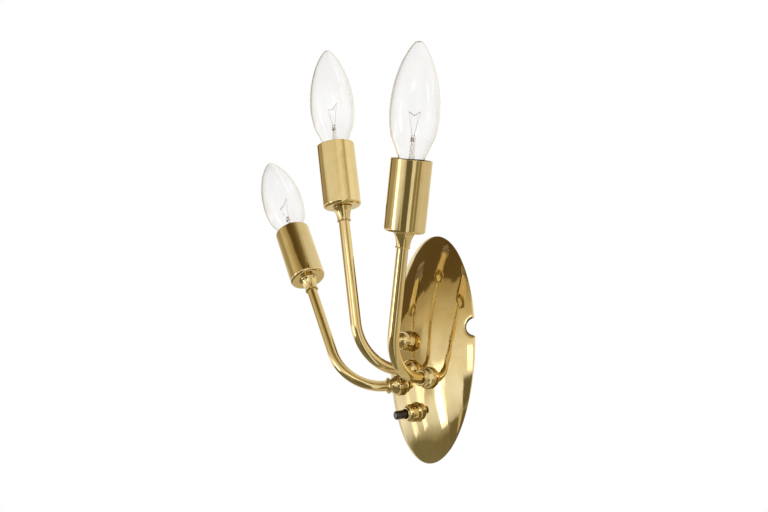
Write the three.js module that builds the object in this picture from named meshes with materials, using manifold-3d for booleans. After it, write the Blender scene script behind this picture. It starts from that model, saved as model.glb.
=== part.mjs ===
// A three-armed electric wall sconce in polished brass: a domed oval back plate on a wall bracket,
// three bent tube arms, cup lampholders with clear candle lamps, and a push-button switch.
//
// Millimetres. The origin is on the wall, at the middle of the oval plate. +Z is up, -Y points out
// of the wall into the room, and +X is to the right for someone who faces the wall.
// "along" below is a distance along a piece's own axis, outwards or upwards from its seat.

import * as THREE from "three";
import { mergeVertices } from "three/addons/utils/BufferGeometryUtils.js";
import Module from "manifold-3d";

const wasm = await Module();
wasm.setup();

// ---------------------------------------------------------------- driving dimensions

const GAP = 0.3; // seat and bore clearance between neighbouring pieces

// oval back plate, pressed from sheet
const PLATE_HALF_WIDTH = 56.65;
const PLATE_HALF_HEIGHT = 86.06;
const PLATE_DEPTH = 17.2;
const PLATE_FULLNESS = 0.83; // exponent of the dome's section: 0.5 is an ellipse, 1 a parabola
const PLATE_SHEET = 1.0;
const NOTCH_RADIUS = 6.9;
const NOTCH_REACH = 5.7; // how far the lead's notch bites in from the rim
const NOTCH_HEIGHT = 5.0;

// arms
const TUBE_DIAMETER = 8.0;
const TUBE_WALL = 0.8;
const BEND_RADIUS = 35.8;
const LOWER_LEG = 43.4; // from the plate to the corner where the two straight legs would meet
const OUTER_ARM = {
  rootX: 19.4, rootZ: -27.5, upperLeg: 102.8,
  leaves: [16.7, -7.0], // degrees sideways and upwards of straight out from the wall
  climbs: [24.0, 8.6], // degrees sideways and forwards of straight up
};
const CENTRE_ARM = {
  rootX: 0, rootZ: -19.6, upperLeg: 121.5,
  leaves: [0, -2.7],
  climbs: [0, 8.7],
};
const ARM_SET = 0.6; // degrees to the right that all three arms were left at when tightened

// fitting where an arm meets the plate
const BELL_FLARE = 3.7; // how far the bell's rim stands out round its bore
const BELL_ROUND = 1.6;
const BELL_RIM = 3.0; // length of the full-width rim
const SEAT_ALLOWANCE = 2.0; // length trimmed off where a turned piece is fitted to the dome
const BELL_LENGTH = 8.7;
const BELL_WAIST_WALL = 0.6;
const COLLAR_RIM = 1.7; // how far the collar stands out round its bore
const COLLAR_LENGTH = 2.0;
const NIPPLE_BORE = 4.6;
const NIPPLE_IN_BELL = 4.9;
const NIPPLE_BEHIND = 7.6;
const WASHER_RIM = 3.2;
const WASHER_BACK = 3.0; // how far the washer's back lies behind the plate's front
const NUT_WALL = 1.7; // across the flats
const NUT_THICKNESS = 3.4;

// cup lampholder
const SLEEVE_DIAMETER = 28.0;
const SLEEVE_WALL = 0.8;
const SLEEVE_LENGTH = 48.4;
const SLEEVE_ROUND = 2.2;
const CONE_FOOT_WALL = 0.4;
const CONE_FLARE = 1.8; // how much wider the cone is at the sleeve than at its foot, all round
const CONE_LENGTH = 9.6;
const CONE_BEAD = 0.5; // how far the bead stands out round the cone's foot
const CONE_BEAD_LENGTH = 1.0;
const CONE_SHOULDER = 3.0; // the tube's end stops this far below the sleeve
const SPIGOT_DIAMETER = 10.0;
const SPIGOT_LENGTH = 6.0;
const SPIGOT_BORE = 6.0;
const HOLDER_PLAY = 0.6; // between the lampholder and the inside of the sleeve
const HOLDER_FOOT_WALL = 3.2;
const HOLDER_BELOW_RIM = 4.4;
const HOLDER_SHOULDER = 4.0; // thickness of the lampholder's floor
const HOLDER_CONTACT_BORE = 4.6;
const SHELL_WALL = 0.7;
const SHELL_BELOW_COLLAR = 0.8;
const CONTACT_LENGTH = 6.6;
const CONTACT_STANDS_OUT = 1.0;

// candle lamp with a small screw cap
const CAP_DIAMETER = 13.8;
const CAP_PLAY = 0.4; // between the cap's thread and the screw shell
const CAP_COLLAR = 0.8; // how far the collar stands out round the cap
const CAP_COLLAR_LENGTH = 3.6;
const CAP_WALL = 0.5;
const CAP_LENGTH = 22.0;
const CAP_TIP_DIAMETER = 4.6;
const CAP_TIP_LENGTH = 1.4;
const CAP_INSULATOR_LENGTH = 4.2; // from the lamp's foot to the first thread
const LAMP_LENGTH = 100.2;
const LAMP_IN_SLEEVE = 23.4;
const LAMP_DIAMETER = 34.0;
const LAMP_NECK_DIAMETER = 17.4;
const LAMP_NECK_ABOVE_CAP = 1.4;
const NECK_IN_CAP = 8.0;
const GLASS_WALL = 0.7;
const STEM_DIAMETER = 3.8;
const STEM_HEIGHT = 16.0; // above the glass neck, as is the filament
const FILAMENT_HEIGHT = 31.0;
const FILAMENT_SPAN = 15.0;
const SUPPORT_WIRE_DIAMETER = 0.9;

// wall bracket, stud and cap nut
const BRACKET_LENGTH = 90.0;
const BRACKET_WIDTH = 16.0;
const BRACKET_THICKNESS = 2.0;
const BRACKET_HEIGHT = 2.0; // of its middle, and of the stud, above the plate's middle
const SLOT_SPACING = 72.0;
const SLOT_LENGTH = 12.0;
const SLOT_WIDTH = 5.0;
const STUD_DIAMETER = 6.0;
const STUD_FOOT_DIAMETER = 10.0;
const STUD_FOOT_THICKNESS = 1.2;
const STUD_IN_NUT = 8.0;
const CAP_NUT_DIAMETER = 15.2;
const CAP_NUT_RIM = 4.6;
const CAP_NUT_GROOVE = 0.5; // depth of the turned groove between the rim and the crown
const CAP_NUT_LENGTH = 13.6;
const EARTH_SCREW_X = -17.0;
const EARTH_SCREW_DIAMETER = 3.4;
const EARTH_HEAD_DIAMETER = 7.0;
const EARTH_HEAD_LENGTH = 2.2;

// terminal block on the bracket
const BLOCK_SIZE = [21.0, 7.6, 13.0];
const BLOCK_X = 18.0;
const BLOCK_WAYS = 4;
const BLOCK_PITCH = 5.0;
const BLOCK_ENTRY_DEPTH = 5.0;

// push-button switch
const SWITCH_HEIGHT = -49.8;
const SWITCH_HOUSING_WALL = 3.4; // round the cavity for the button's foot
const SWITCH_HOUSING_DEPTH = 8.0;
const SWITCH_LID = 1.2;
const SWITCH_BUSH_WALL = 1.05;
const SWITCH_FLANGE_RIM = 2.6; // how far the flange stands out round the bush
const SWITCH_FLANGE_THICKNESS = 2.3;
const SWITCH_FLANGE_EDGE = 0.9;
const SWITCH_NUT_WALL = 1.7;
const SWITCH_NUT_BEVEL = 1.4;
const SWITCH_NUT_LENGTH = 5.6;
const SWITCH_NUT_LIP = 0.5;
const BUTTON_DIAMETER = 6.3;
const BUTTON_STANDS_OUT = 10.9; // from the ring nut's face
const BUTTON_TRAVEL = 3.0;
const BUTTON_ROUND = 1.2;
const BUTTON_FOOT_RIM = 1.15;
const BUTTON_FOOT_THICKNESS = 1.0;

// wires
const WIRE_DIAMETER = 2.2;

// facets
const SIDES = { plate: 40, sleeve: 16, glass: 16, turned: 12, tube: 8, small: 8, wire: 6 };
const STEPS = { domeRings: 8, glassOutline: 7, tube: 18, armLead: 42, switchLead: 16, crown: 4 };

// ---------------------------------------------------------------- derived places

const sleeveInside = SLEEVE_DIAMETER / 2 - SLEEVE_WALL;
const tubeRadius = TUBE_DIAMETER / 2;
const fittingBore = tubeRadius + GAP;
const tubeStart = NIPPLE_IN_BELL + GAP;
const collarStart = BELL_LENGTH + GAP;
const lampFoot = SLEEVE_LENGTH - LAMP_IN_SLEEVE;
const lampTip = lampFoot + LAMP_LENGTH;
const capTop = lampFoot + CAP_LENGTH;
const capRadius = CAP_DIAMETER / 2;
const capInside = capRadius - CAP_WALL;
const capCollarLow = capTop - CAP_COLLAR_LENGTH;
const neckHeight = capTop + LAMP_NECK_ABOVE_CAP;
const shellBore = capRadius + CAP_PLAY;
const holderFloor = lampFoot - CONTACT_STANDS_OUT - GAP;
const bracketFront = -BRACKET_THICKNESS;
const buttonRadius = BUTTON_DIAMETER / 2;
const buttonBore = buttonRadius + GAP;
const bushRadius = buttonBore + SWITCH_BUSH_WALL;
const bushBore = bushRadius + GAP;
const switchNutStart = SWITCH_FLANGE_THICKNESS + GAP;
const switchNutFace = switchNutStart + SWITCH_NUT_LENGTH;
const switchBackStart = -(PLATE_SHEET + 3 * GAP);

// ---------------------------------------------------------------- materials

const finish = (colour, roughness, metalness, extra = {}) =>
  new THREE.MeshStandardMaterial({ color: colour, roughness, metalness, ...extra });

const MATERIALS = {
  brass: () => finish(0xd2b05f, 0.12, 1),
  sleeveBrass: () => finish(0xc9a85c, 0.2, 1),
  steel: () => finish(0xa7a9ab, 0.35, 1),
  nickel: () => finish(0xc8c6bd, 0.25, 1),
  glass: () => finish(0xf4f6f5, 0.03, 0, { transparent: true, opacity: 0.25 }),
  filament: () => finish(0x8d8f90, 0.4, 0.6),
  porcelain: () => finish(0xe8e4d8, 0.35, 0),
  button: () => finish(0x17130f, 0.18, 0),
  housing: () => finish(0x2b2724, 0.5, 0),
  wire: () => finish(0xded6c2, 0.5, 0),
};

// ---------------------------------------------------------------- solids

// The solid of a closed three.js geometry.
function solidOf(geometry) {
  const bare = geometry.clone();
  bare.deleteAttribute("normal");
  bare.deleteAttribute("uv");
  const merged = mergeVertices(bare, 1e-4);
  return new wasm.Manifold(new wasm.Mesh({
    numProp: 3,
    vertProperties: merged.attributes.position.array,
    triVerts: new Uint32Array(merged.index.array),
  }));
}

function geometryOf(solid) {
  const mesh = solid.getMesh();
  const geometry = new THREE.BufferGeometry();
  geometry.setAttribute("position", new THREE.BufferAttribute(mesh.vertProperties, 3));
  geometry.setIndex(new THREE.BufferAttribute(mesh.triVerts, 1));
  return geometry;
}

// A turned piece about its own +Z axis, from [radius, along] points listed anticlockwise.
function turned(profile, sides = SIDES.turned) {
  const points = profile.map(([radius, along]) => new THREE.Vector2(radius, along));
  return new THREE.LatheGeometry(points, sides).rotateX(Math.PI / 2);
}

// A turned ring or tube: its outline is closed by repeating the first point.
function turnedRing(profile, sides = SIDES.turned) {
  return turned([...profile, profile[0]], sides);
}

function tubeRing(outer, inner, low, high, sides) {
  return turnedRing([[inner, low], [outer, low], [outer, high], [inner, high]], sides);
}

function rod(radius, low, high, sides) {
  return turned([[0, low], [radius, low], [radius, high], [0, high]], sides);
}

// Points of a quarter round from one end of an edge to the other, both ends included.
function quarterRound(centre, radius, fromDegrees, steps) {
  return Array.from({ length: steps + 1 }, (_, i) => {
    const angle = THREE.MathUtils.degToRad(fromDegrees + (90 * i) / steps);
    return [centre[0] + radius * Math.cos(angle), centre[1] + radius * Math.sin(angle)];
  });
}

function circlePoints(radius, sides) {
  return Array.from({ length: sides }, (_, i) => {
    const angle = (2 * Math.PI * i) / sides;
    return new THREE.Vector2(radius * Math.cos(angle), radius * Math.sin(angle));
  });
}

// A pipe or a solid wire that follows a curve.
function alongCurve(curve, radius, bore, sides, steps) {
  const section = new THREE.Shape(circlePoints(radius, sides));
  if (bore > 0) section.holes.push(new THREE.Path(circlePoints(bore, sides)));
  return new THREE.ExtrudeGeometry(section, { steps, extrudePath: curve, bevelEnabled: false });
}

// ---------------------------------------------------------------- scene helpers

const sconce = new THREE.Group();
sconce.name = "wall_sconce";

const UP = new THREE.Vector3(0, 0, 1);

function add(name, geometry, material, parent = sconce) {
  const mesh = new THREE.Mesh(geometry, MATERIALS[material]());
  mesh.name = name;
  parent.add(mesh);
  return mesh;
}

// A group whose own +Z axis starts at a point and runs along a direction.
function axisGroup(origin, direction) {
  const group = new THREE.Group();
  group.position.copy(origin);
  group.quaternion.setFromUnitVectors(UP, direction);
  sconce.add(group);
  group.updateMatrixWorld(true);
  return group;
}

// Cuts a piece that stands on the plate so that its foot follows the dome.
function seatOnDome(geometry, group) {
  const placed = geometry.clone().applyMatrix4(group.matrixWorld);
  const cut = solidOf(placed).subtract(solidOf(dome(GAP, 0)));
  return geometryOf(cut).applyMatrix4(group.matrixWorld.clone().invert());
}

// Cuts a piece behind the plate so that its front follows the inside of the dome.
function seatInDome(geometry, group) {
  const placed = geometry.clone().applyMatrix4(group.matrixWorld);
  const cut = solidOf(placed).intersect(solidOf(dome(-PLATE_SHEET - GAP, 0)));
  return geometryOf(cut).applyMatrix4(group.matrixWorld.clone().invert());
}

// ---------------------------------------------------------------- back plate

// How far the dome stands out from the wall at a point of the plate.
function domeDepth(x, z) {
  const share = (x / PLATE_HALF_WIDTH) ** 2 + (z / PLATE_HALF_HEIGHT) ** 2;
  return PLATE_DEPTH * Math.max(1 - share, 0) ** PLATE_FULLNESS;
}

function domePoint(x, z) {
  return new THREE.Vector3(x, -domeDepth(x, z), z);
}

function domeNormal(x, z) {
  const step = 0.05;
  const slopeX = (domeDepth(x - step, z) - domeDepth(x + step, z)) / (2 * step);
  const slopeZ = (domeDepth(x, z - step) - domeDepth(x, z + step)) / (2 * step);
  return new THREE.Vector3(slopeX, -1, slopeZ).normalize();
}

// The filled dome, grown all over by one distance and reaching back past the wall by another.
function dome(grow, past) {
  const rings = STEPS.domeRings;
  const depth = PLATE_DEPTH + grow;
  const profile = past > 0 ? [[0, -past], [1, -past]] : [[0, 0]];
  for (let i = 0; i < rings; i++) {
    const radius = Math.cos((i / rings) * (Math.PI / 2));
    profile.push([radius, depth * (1 - radius ** 2) ** PLATE_FULLNESS]);
  }
  profile.push([0, depth]);
  return turned(profile, SIDES.plate)
    .rotateX(Math.PI / 2)
    .scale(PLATE_HALF_WIDTH + grow, 1, PLATE_HALF_HEIGHT + grow);
}

// A drill that passes through the plate along an axis.
function drill(origin, direction, radius) {
  const reach = 3 * PLATE_SHEET;
  const matrix = new THREE.Matrix4().compose(
    origin,
    new THREE.Quaternion().setFromUnitVectors(UP, direction),
    new THREE.Vector3(1, 1, 1),
  );
  return solidOf(rod(radius, -reach, reach, SIDES.turned).applyMatrix4(matrix));
}

function leadNotch() {
  const centre = PLATE_HALF_WIDTH - NOTCH_REACH + NOTCH_RADIUS;
  const cutter = new THREE.CylinderGeometry(NOTCH_RADIUS, NOTCH_RADIUS, PLATE_DEPTH, 24);
  return solidOf(cutter.translate(centre, 0, NOTCH_HEIGHT));
}

function backPlate(holes) {
  let plate = solidOf(dome(0, 0)).subtract(solidOf(dome(-PLATE_SHEET, PLATE_SHEET)));
  plate = plate.subtract(leadNotch());
  for (const { origin, direction, radius } of holes) {
    plate = plate.subtract(drill(origin, direction, radius));
  }
  add("back_plate", geometryOf(plate), "brass");
}

// ---------------------------------------------------------------- wall bracket and cap nut

function roundedSlot(length, width, steps = 6) {
  const straight = (length - width) / 2;
  const points = [];
  for (const side of [1, -1]) {
    for (let i = 0; i <= steps; i++) {
      const angle = (Math.PI * i) / steps - Math.PI / 2;
      points.push([side * (straight + (width / 2) * Math.cos(angle)), (side * width * Math.sin(angle)) / 2]);
    }
  }
  return points;
}

function wallBracket() {
  const outline = new THREE.Shape();
  roundedSlot(BRACKET_LENGTH, BRACKET_WIDTH, 8).forEach(([x, z], i) => {
    if (i) outline.lineTo(x, z);
    else outline.moveTo(x, z);
  });
  for (const side of [-1, 1]) {
    const slot = roundedSlot(SLOT_LENGTH, SLOT_WIDTH).map(
      ([x, z]) => new THREE.Vector2(x + (side * SLOT_SPACING) / 2, z),
    );
    outline.holes.push(new THREE.Path(slot));
  }
  const earthHole = circlePoints(EARTH_SCREW_DIAMETER / 2 + GAP, SIDES.small);
  outline.holes.push(new THREE.Path(earthHole.map((p) => p.add(new THREE.Vector2(EARTH_SCREW_X, 0)))));
  const strap = new THREE.ExtrudeGeometry(outline, { depth: BRACKET_THICKNESS, bevelEnabled: false });
  const mesh = add("wall_bracket", strap.rotateX(Math.PI / 2), "steel");
  mesh.position.set(0, 0, BRACKET_HEIGHT);
}

const OUT = new THREE.Vector3(0, -1, 0);

function stud() {
  const seat = new THREE.Vector3(0, bracketFront - GAP, BRACKET_HEIGHT);
  const length = domeDepth(0, BRACKET_HEIGHT) + bracketFront - GAP + STUD_IN_NUT;
  const radius = STUD_DIAMETER / 2;
  const foot = STUD_FOOT_DIAMETER / 2;
  const profile = [[0, 0], [foot, 0], [foot, STUD_FOOT_THICKNESS], [radius, STUD_FOOT_THICKNESS],
    [radius, length], [0, length]];
  add("bracket_stud", turned(profile, SIDES.small), "steel", axisGroup(seat, OUT));
}

function capNut() {
  const radius = CAP_NUT_DIAMETER / 2;
  const bore = STUD_DIAMETER / 2 + GAP;
  const crownStart = CAP_NUT_RIM + CAP_NUT_GROOVE;
  const domeHeight = CAP_NUT_LENGTH - crownStart;
  const crown = [];
  for (let i = 0; i <= STEPS.crown; i++) {
    const angle = (i / STEPS.crown) * (Math.PI / 2);
    crown.push([(radius - CAP_NUT_GROOVE) * Math.cos(angle), crownStart + domeHeight * Math.sin(angle)]);
  }
  crown[crown.length - 1][0] = 0;
  const profile = [[bore, -SEAT_ALLOWANCE], [radius - CAP_NUT_GROOVE, -SEAT_ALLOWANCE],
    [radius, CAP_NUT_GROOVE], [radius, CAP_NUT_RIM - CAP_NUT_GROOVE], [radius - 2 * CAP_NUT_GROOVE, CAP_NUT_RIM],
    ...crown];
  const blind = STUD_IN_NUT + GAP;
  const group = axisGroup(domePoint(0, BRACKET_HEIGHT), OUT);
  const nut = turned([[0, blind], [bore, blind], ...profile]);
  add("cap_nut", seatOnDome(nut, group), "brass", group);
}

function earthScrew() {
  const seat = new THREE.Vector3(EARTH_SCREW_X, bracketFront - GAP, BRACKET_HEIGHT);
  const shank = EARTH_SCREW_DIAMETER / 2;
  const head = EARTH_HEAD_DIAMETER / 2;
  const crown = quarterRound([head - 1, EARTH_HEAD_LENGTH - 1], 1, 0, 2);
  const profile = [[0, -BRACKET_THICKNESS], [shank, -BRACKET_THICKNESS], [shank, 0], [head, 0], ...crown,
    [0, EARTH_HEAD_LENGTH]];
  add("earth_screw", turned(profile, SIDES.small), "brass", axisGroup(seat, OUT));
}

// ---------------------------------------------------------------- terminal block

const blockBottom = BRACKET_HEIGHT - BLOCK_SIZE[2] / 2;
const blockFront = bracketFront - GAP - BLOCK_SIZE[1];
const blockEntryY = bracketFront - GAP - BLOCK_SIZE[1] / 2;

function blockEntry(index) {
  const offset = (index - (BLOCK_WAYS - 1) / 2) * BLOCK_PITCH;
  return new THREE.Vector3(BLOCK_X + offset, blockEntryY, blockBottom);
}

function terminalBlock() {
  const [width, depth, height] = BLOCK_SIZE;
  let block = solidOf(new THREE.BoxGeometry(width, depth, height)
    .translate(BLOCK_X, (bracketFront - GAP + blockFront) / 2, BRACKET_HEIGHT));
  for (let i = 0; i < BLOCK_WAYS; i++) {
    const entry = blockEntry(i);
    const bore = WIRE_DIAMETER / 2 + GAP;
    const hole = rod(bore, -1, BLOCK_ENTRY_DEPTH + GAP, SIDES.small).translate(entry.x, entry.y, entry.z);
    block = block.subtract(solidOf(hole));
  }
  add("terminal_block", geometryOf(block), "porcelain");
}

// ---------------------------------------------------------------- push-button switch

const switchSeat = domePoint(0, SWITCH_HEIGHT);
const switchAxis = domeNormal(0, SWITCH_HEIGHT);
const footRadius = buttonRadius + BUTTON_FOOT_RIM;
const cavityRadius = footRadius + GAP;
const cavityTop = switchBackStart - SWITCH_LID;
const footTop = cavityTop - GAP;
const footBottom = footTop - BUTTON_FOOT_THICKNESS;
const cavityFloor = footBottom - BUTTON_TRAVEL - GAP;

function switchBody(group) {
  const outer = cavityRadius + SWITCH_HOUSING_WALL;
  const back = switchBackStart - SWITCH_HOUSING_DEPTH;
  const bushEnd = switchNutFace - SWITCH_NUT_LIP - GAP;
  const profile = [[0, back], [outer, back], [outer, switchBackStart],
    [bushRadius, switchBackStart], [bushRadius, bushEnd], [buttonBore, bushEnd],
    [buttonBore, cavityTop], [cavityRadius, cavityTop], [cavityRadius, cavityFloor], [0, cavityFloor]];
  add("switch_body", turned(profile), "housing", group);
}

function switchFlange(group) {
  const rim = bushBore + SWITCH_FLANGE_RIM;
  const profile = [[bushBore, -SEAT_ALLOWANCE], [rim, -SEAT_ALLOWANCE], [rim, SWITCH_FLANGE_EDGE],
    [bushBore + SWITCH_NUT_WALL - GAP, SWITCH_FLANGE_THICKNESS], [bushBore, SWITCH_FLANGE_THICKNESS]];
  add("switch_flange", seatOnDome(turnedRing(profile), group), "brass", group);
}

function switchRingNut(group) {
  const radius = bushBore + SWITCH_NUT_WALL;
  const lip = switchNutFace - SWITCH_NUT_LIP;
  const mouth = buttonBore + GAP;
  const profile = [[bushBore, switchNutStart], [radius, switchNutStart],
    [radius, switchNutFace - SWITCH_NUT_BEVEL], [radius - SWITCH_NUT_BEVEL, switchNutFace],
    [mouth, switchNutFace], [mouth, lip], [bushBore, lip]];
  add("switch_ring_nut", turnedRing(profile), "brass", group);
}

function switchButton(group) {
  const end = switchNutFace + BUTTON_STANDS_OUT;
  const crown = quarterRound([buttonRadius - BUTTON_ROUND, end - BUTTON_ROUND], BUTTON_ROUND, 0, 3);
  const profile = [[0, footBottom], [footRadius, footBottom], [footRadius, footTop], [buttonRadius, footTop],
    ...crown, [0, end]];
  add("switch_button", turned(profile, SIDES.turned), "button", group);
}

// The lead from the switch to the terminal block stays behind the plate.
function switchLead() {
  const start = switchSeat.clone()
    .addScaledVector(switchAxis, switchBackStart - SWITCH_HOUSING_DEPTH / 2)
    .add(new THREE.Vector3(cavityRadius + SWITCH_HOUSING_WALL + 2 * GAP, 0, 2));
  const entry = blockEntry(BLOCK_WAYS - 1);
  const curve = new THREE.CatmullRomCurve3([
    start,
    start.clone().add(new THREE.Vector3(4, 0.5, 2.5)),
    new THREE.Vector3(29.5, start.y, SWITCH_HEIGHT + 14),
    new THREE.Vector3(31.5, start.y, -24),
    new THREE.Vector3(entry.x + 4.5, entry.y, entry.z - 9),
    entry.clone().add(new THREE.Vector3(0, 0, -3)),
    entry.clone().add(new THREE.Vector3(0, 0, BLOCK_ENTRY_DEPTH)),
  ]);
  add("switch_lead", alongCurve(curve, WIRE_DIAMETER / 2, 0, SIDES.wire, STEPS.switchLead), "wire");
}

function pushButtonSwitch() {
  const group = axisGroup(switchSeat, switchAxis);
  switchBody(group);
  switchFlange(group);
  switchRingNut(group);
  switchButton(group);
}

// ---------------------------------------------------------------- arm path

const degrees = THREE.MathUtils.degToRad;

// Two straight legs joined by a round bend, in the plane of the two directions.
class ArmCurve extends THREE.Curve {
  constructor(arm, start, end) {
    super();
    this.arm = arm;
    this.start = start;
    this.end = end;
  }

  getPoint(share, target = new THREE.Vector3()) {
    return target.copy(this.arm.pointAt(this.start + share * (this.end - this.start)));
  }
}

function armLayout(spec, side) {
  const [sideways, rise] = spec.leaves.map((angle) => Math.tan(degrees(angle)));
  const spread = Math.tan(degrees(side * spec.climbs[0] + ARM_SET));
  const forward = Math.tan(degrees(spec.climbs[1]));
  const root = domePoint(side * spec.rootX, spec.rootZ);
  const out = new THREE.Vector3(side * sideways, -1, rise).normalize();
  const up = new THREE.Vector3(spread, -forward, 1).normalize();
  const turn = out.angleTo(up);
  const tangent = BEND_RADIUS * Math.tan(turn / 2);
  const corner = root.clone().addScaledVector(out, LOWER_LEG);
  const bendStart = LOWER_LEG - tangent;
  const bendLength = BEND_RADIUS * turn;
  const upperStart = bendStart + bendLength;
  const towardsUp = up.clone().addScaledVector(out, -up.dot(out)).normalize();
  const length = upperStart + spec.upperLeg - SLEEVE_ROUND - tangent;

  function pointAt(distance) {
    if (distance <= bendStart) return root.clone().addScaledVector(out, distance);
    if (distance >= upperStart) return corner.clone().addScaledVector(up, tangent + distance - upperStart);
    const angle = (distance - bendStart) / BEND_RADIUS;
    return root.clone()
      .addScaledVector(out, bendStart + BEND_RADIUS * Math.sin(angle))
      .addScaledVector(towardsUp, BEND_RADIUS * (1 - Math.cos(angle)));
  }
  return { root, out, up, length, pointAt };
}

// ---------------------------------------------------------------- arm pieces

function bell(name, group) {
  const radius = fittingBore + BELL_FLARE;
  const waist = fittingBore + BELL_WAIST_WALL;
  const flare = quarterRound([radius - BELL_ROUND, BELL_RIM], BELL_ROUND, 0, 3);
  const throat = (BELL_RIM + BELL_ROUND + BELL_LENGTH) / 2;
  const profile = [[fittingBore, -SEAT_ALLOWANCE], [radius, -SEAT_ALLOWANCE], ...flare,
    [waist + 1, throat], [waist, BELL_LENGTH - 1], [waist, BELL_LENGTH], [fittingBore, BELL_LENGTH]];
  add(name, seatOnDome(turnedRing(profile), group), "brass", group);
}

function collar(name, group) {
  const outer = fittingBore + COLLAR_RIM;
  const end = collarStart + COLLAR_LENGTH;
  const bevel = COLLAR_LENGTH / 4;
  const profile = [[fittingBore, collarStart], [outer - bevel, collarStart], [outer, collarStart + bevel],
    [outer, end - bevel], [outer - bevel, end], [fittingBore, end]];
  add(name, turnedRing(profile), "brass", group);
}

function hexNut(bore, low, high) {
  const corner = (bore + NUT_WALL) / Math.cos(Math.PI / 6);
  const blank = solidOf(rod(corner, low, high, 6));
  return geometryOf(blank.subtract(solidOf(rod(bore, low - 1, high + 1, SIDES.small))));
}

function rootFitting(side, arm) {
  const group = axisGroup(arm.root, arm.out);
  bell(`arm_bell_${side}`, group);
  collar(`arm_collar_${side}`, group);
  const nipple = tubeRing(tubeRadius, NIPPLE_BORE / 2, -NIPPLE_BEHIND, NIPPLE_IN_BELL, SIDES.small);
  add(`arm_nipple_${side}`, nipple, "steel", group);
  const washer = tubeRing(fittingBore + WASHER_RIM, fittingBore, -WASHER_BACK, 0, SIDES.turned);
  add(`arm_washer_${side}`, seatInDome(washer, group), "steel", group);
  const nutFront = -WASHER_BACK - GAP;
  const nut = hexNut(fittingBore, nutFront - NUT_THICKNESS, nutFront);
  add(`arm_nut_${side}`, nut, "steel", group);
}

function armTube(side, arm) {
  const end = arm.length - CONE_SHOULDER - 2 * GAP;
  const curve = new ArmCurve(arm, tubeStart, end);
  const pipe = alongCurve(curve, tubeRadius, tubeRadius - TUBE_WALL, SIDES.tube, STEPS.tube);
  add(`arm_tube_${side}`, pipe, "brass");
}

// The lead runs from the terminal block through the nipple and the tube to the lampholder.
class LeadCurve extends THREE.Curve {
  constructor(loose, arm, armEnd) {
    super();
    this.loose = loose;
    this.looseLength = loose.getLength();
    this.arm = arm;
    this.armLength = armEnd + NIPPLE_BEHIND;
  }

  getPoint(share, target = new THREE.Vector3()) {
    const distance = share * (this.looseLength + this.armLength);
    if (distance < this.looseLength) return this.loose.getPointAt(distance / this.looseLength, target);
    return target.copy(this.arm.pointAt(distance - this.looseLength - NIPPLE_BEHIND));
  }
}

function armLead(side, arm, index, via) {
  const entry = blockEntry(index);
  const inside = new THREE.Vector3(0, 0, 1);
  const mouth = arm.pointAt(-NIPPLE_BEHIND);
  const loose = new THREE.CatmullRomCurve3([
    entry.clone().addScaledVector(inside, BLOCK_ENTRY_DEPTH),
    entry.clone().addScaledVector(inside, -2),
    ...via,
    mouth.clone().addScaledVector(arm.out, -1.6),
    mouth,
  ]);
  const armEnd = arm.length + lampFoot - CONTACT_LENGTH - 2 * GAP;
  const curve = new LeadCurve(loose, arm, armEnd);
  add(`arm_lead_${side}`, alongCurve(curve, WIRE_DIAMETER / 2, 0, SIDES.wire, STEPS.armLead), "wire");
}

// ---------------------------------------------------------------- cup lampholder

function socketCone(name, group) {
  const top = -GAP;
  const foot = top - CONE_LENGTH;
  const bead = foot - CONE_BEAD_LENGTH;
  const spigot = SPIGOT_DIAMETER / 2;
  const bore = SPIGOT_BORE / 2;
  const narrow = fittingBore + CONE_FOOT_WALL;
  const wide = narrow + CONE_FLARE;
  const profile = [[fittingBore, bead], [narrow + CONE_BEAD / 2, bead],
    [narrow + CONE_BEAD, bead + CONE_BEAD_LENGTH / 2], [narrow, foot],
    [wide - CONE_FLARE / 4, top - 2], [wide, top], [spigot, top],
    [spigot, SPIGOT_LENGTH], [bore, SPIGOT_LENGTH], [bore, top - CONE_SHOULDER],
    [fittingBore, top - CONE_SHOULDER]];
  add(name, turnedRing(profile), "brass", group);
}

function sleeve(name, group) {
  const outer = SLEEVE_DIAMETER / 2;
  const hole = SPIGOT_DIAMETER / 2 + GAP;
  const corner = quarterRound([outer - SLEEVE_ROUND, SLEEVE_ROUND], SLEEVE_ROUND, -90, 3);
  const innerRound = SLEEVE_ROUND - SLEEVE_WALL;
  const profile = [[hole, 0], ...corner, [outer, SLEEVE_LENGTH], [sleeveInside, SLEEVE_LENGTH],
    [sleeveInside, SLEEVE_WALL + innerRound], [sleeveInside - innerRound, SLEEVE_WALL], [hole, SLEEVE_WALL]];
  add(name, turnedRing(profile, SIDES.sleeve), "sleeveBrass", group);
}

function lampholder(name, group) {
  const wide = sleeveInside - HOLDER_PLAY;
  const foot = SLEEVE_WALL + GAP;
  const spigotBore = SPIGOT_DIAMETER / 2 + GAP;
  const spigotTop = SPIGOT_LENGTH + GAP;
  const neck = spigotBore + HOLDER_FOOT_WALL;
  const shellPocket = shellBore + SHELL_WALL + GAP;
  const wireBore = HOLDER_CONTACT_BORE / 2;
  const shoulder = holderFloor - HOLDER_SHOULDER;
  const top = SLEEVE_LENGTH - HOLDER_BELOW_RIM;
  const profile = [[spigotBore, foot], [neck, foot], [neck, shoulder - 2], [wide, shoulder],
    [wide, top], [shellPocket, top], [shellPocket, holderFloor], [wireBore, holderFloor],
    [wireBore, spigotTop], [spigotBore, spigotTop]];
  add(name, turnedRing(profile), "porcelain", group);
}

function screwShell(name, group) {
  const floor = holderFloor + GAP;
  const outer = shellBore + SHELL_WALL;
  const top = capCollarLow - SHELL_BELOW_COLLAR;
  const lip = HOLDER_CONTACT_BORE / 2 + 2;
  const profile = [[lip, floor], [outer, floor], [outer, top], [shellBore, top],
    [shellBore, floor + SHELL_WALL], [lip, floor + SHELL_WALL]];
  add(name, turnedRing(profile), "brass", group);
}

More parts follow.
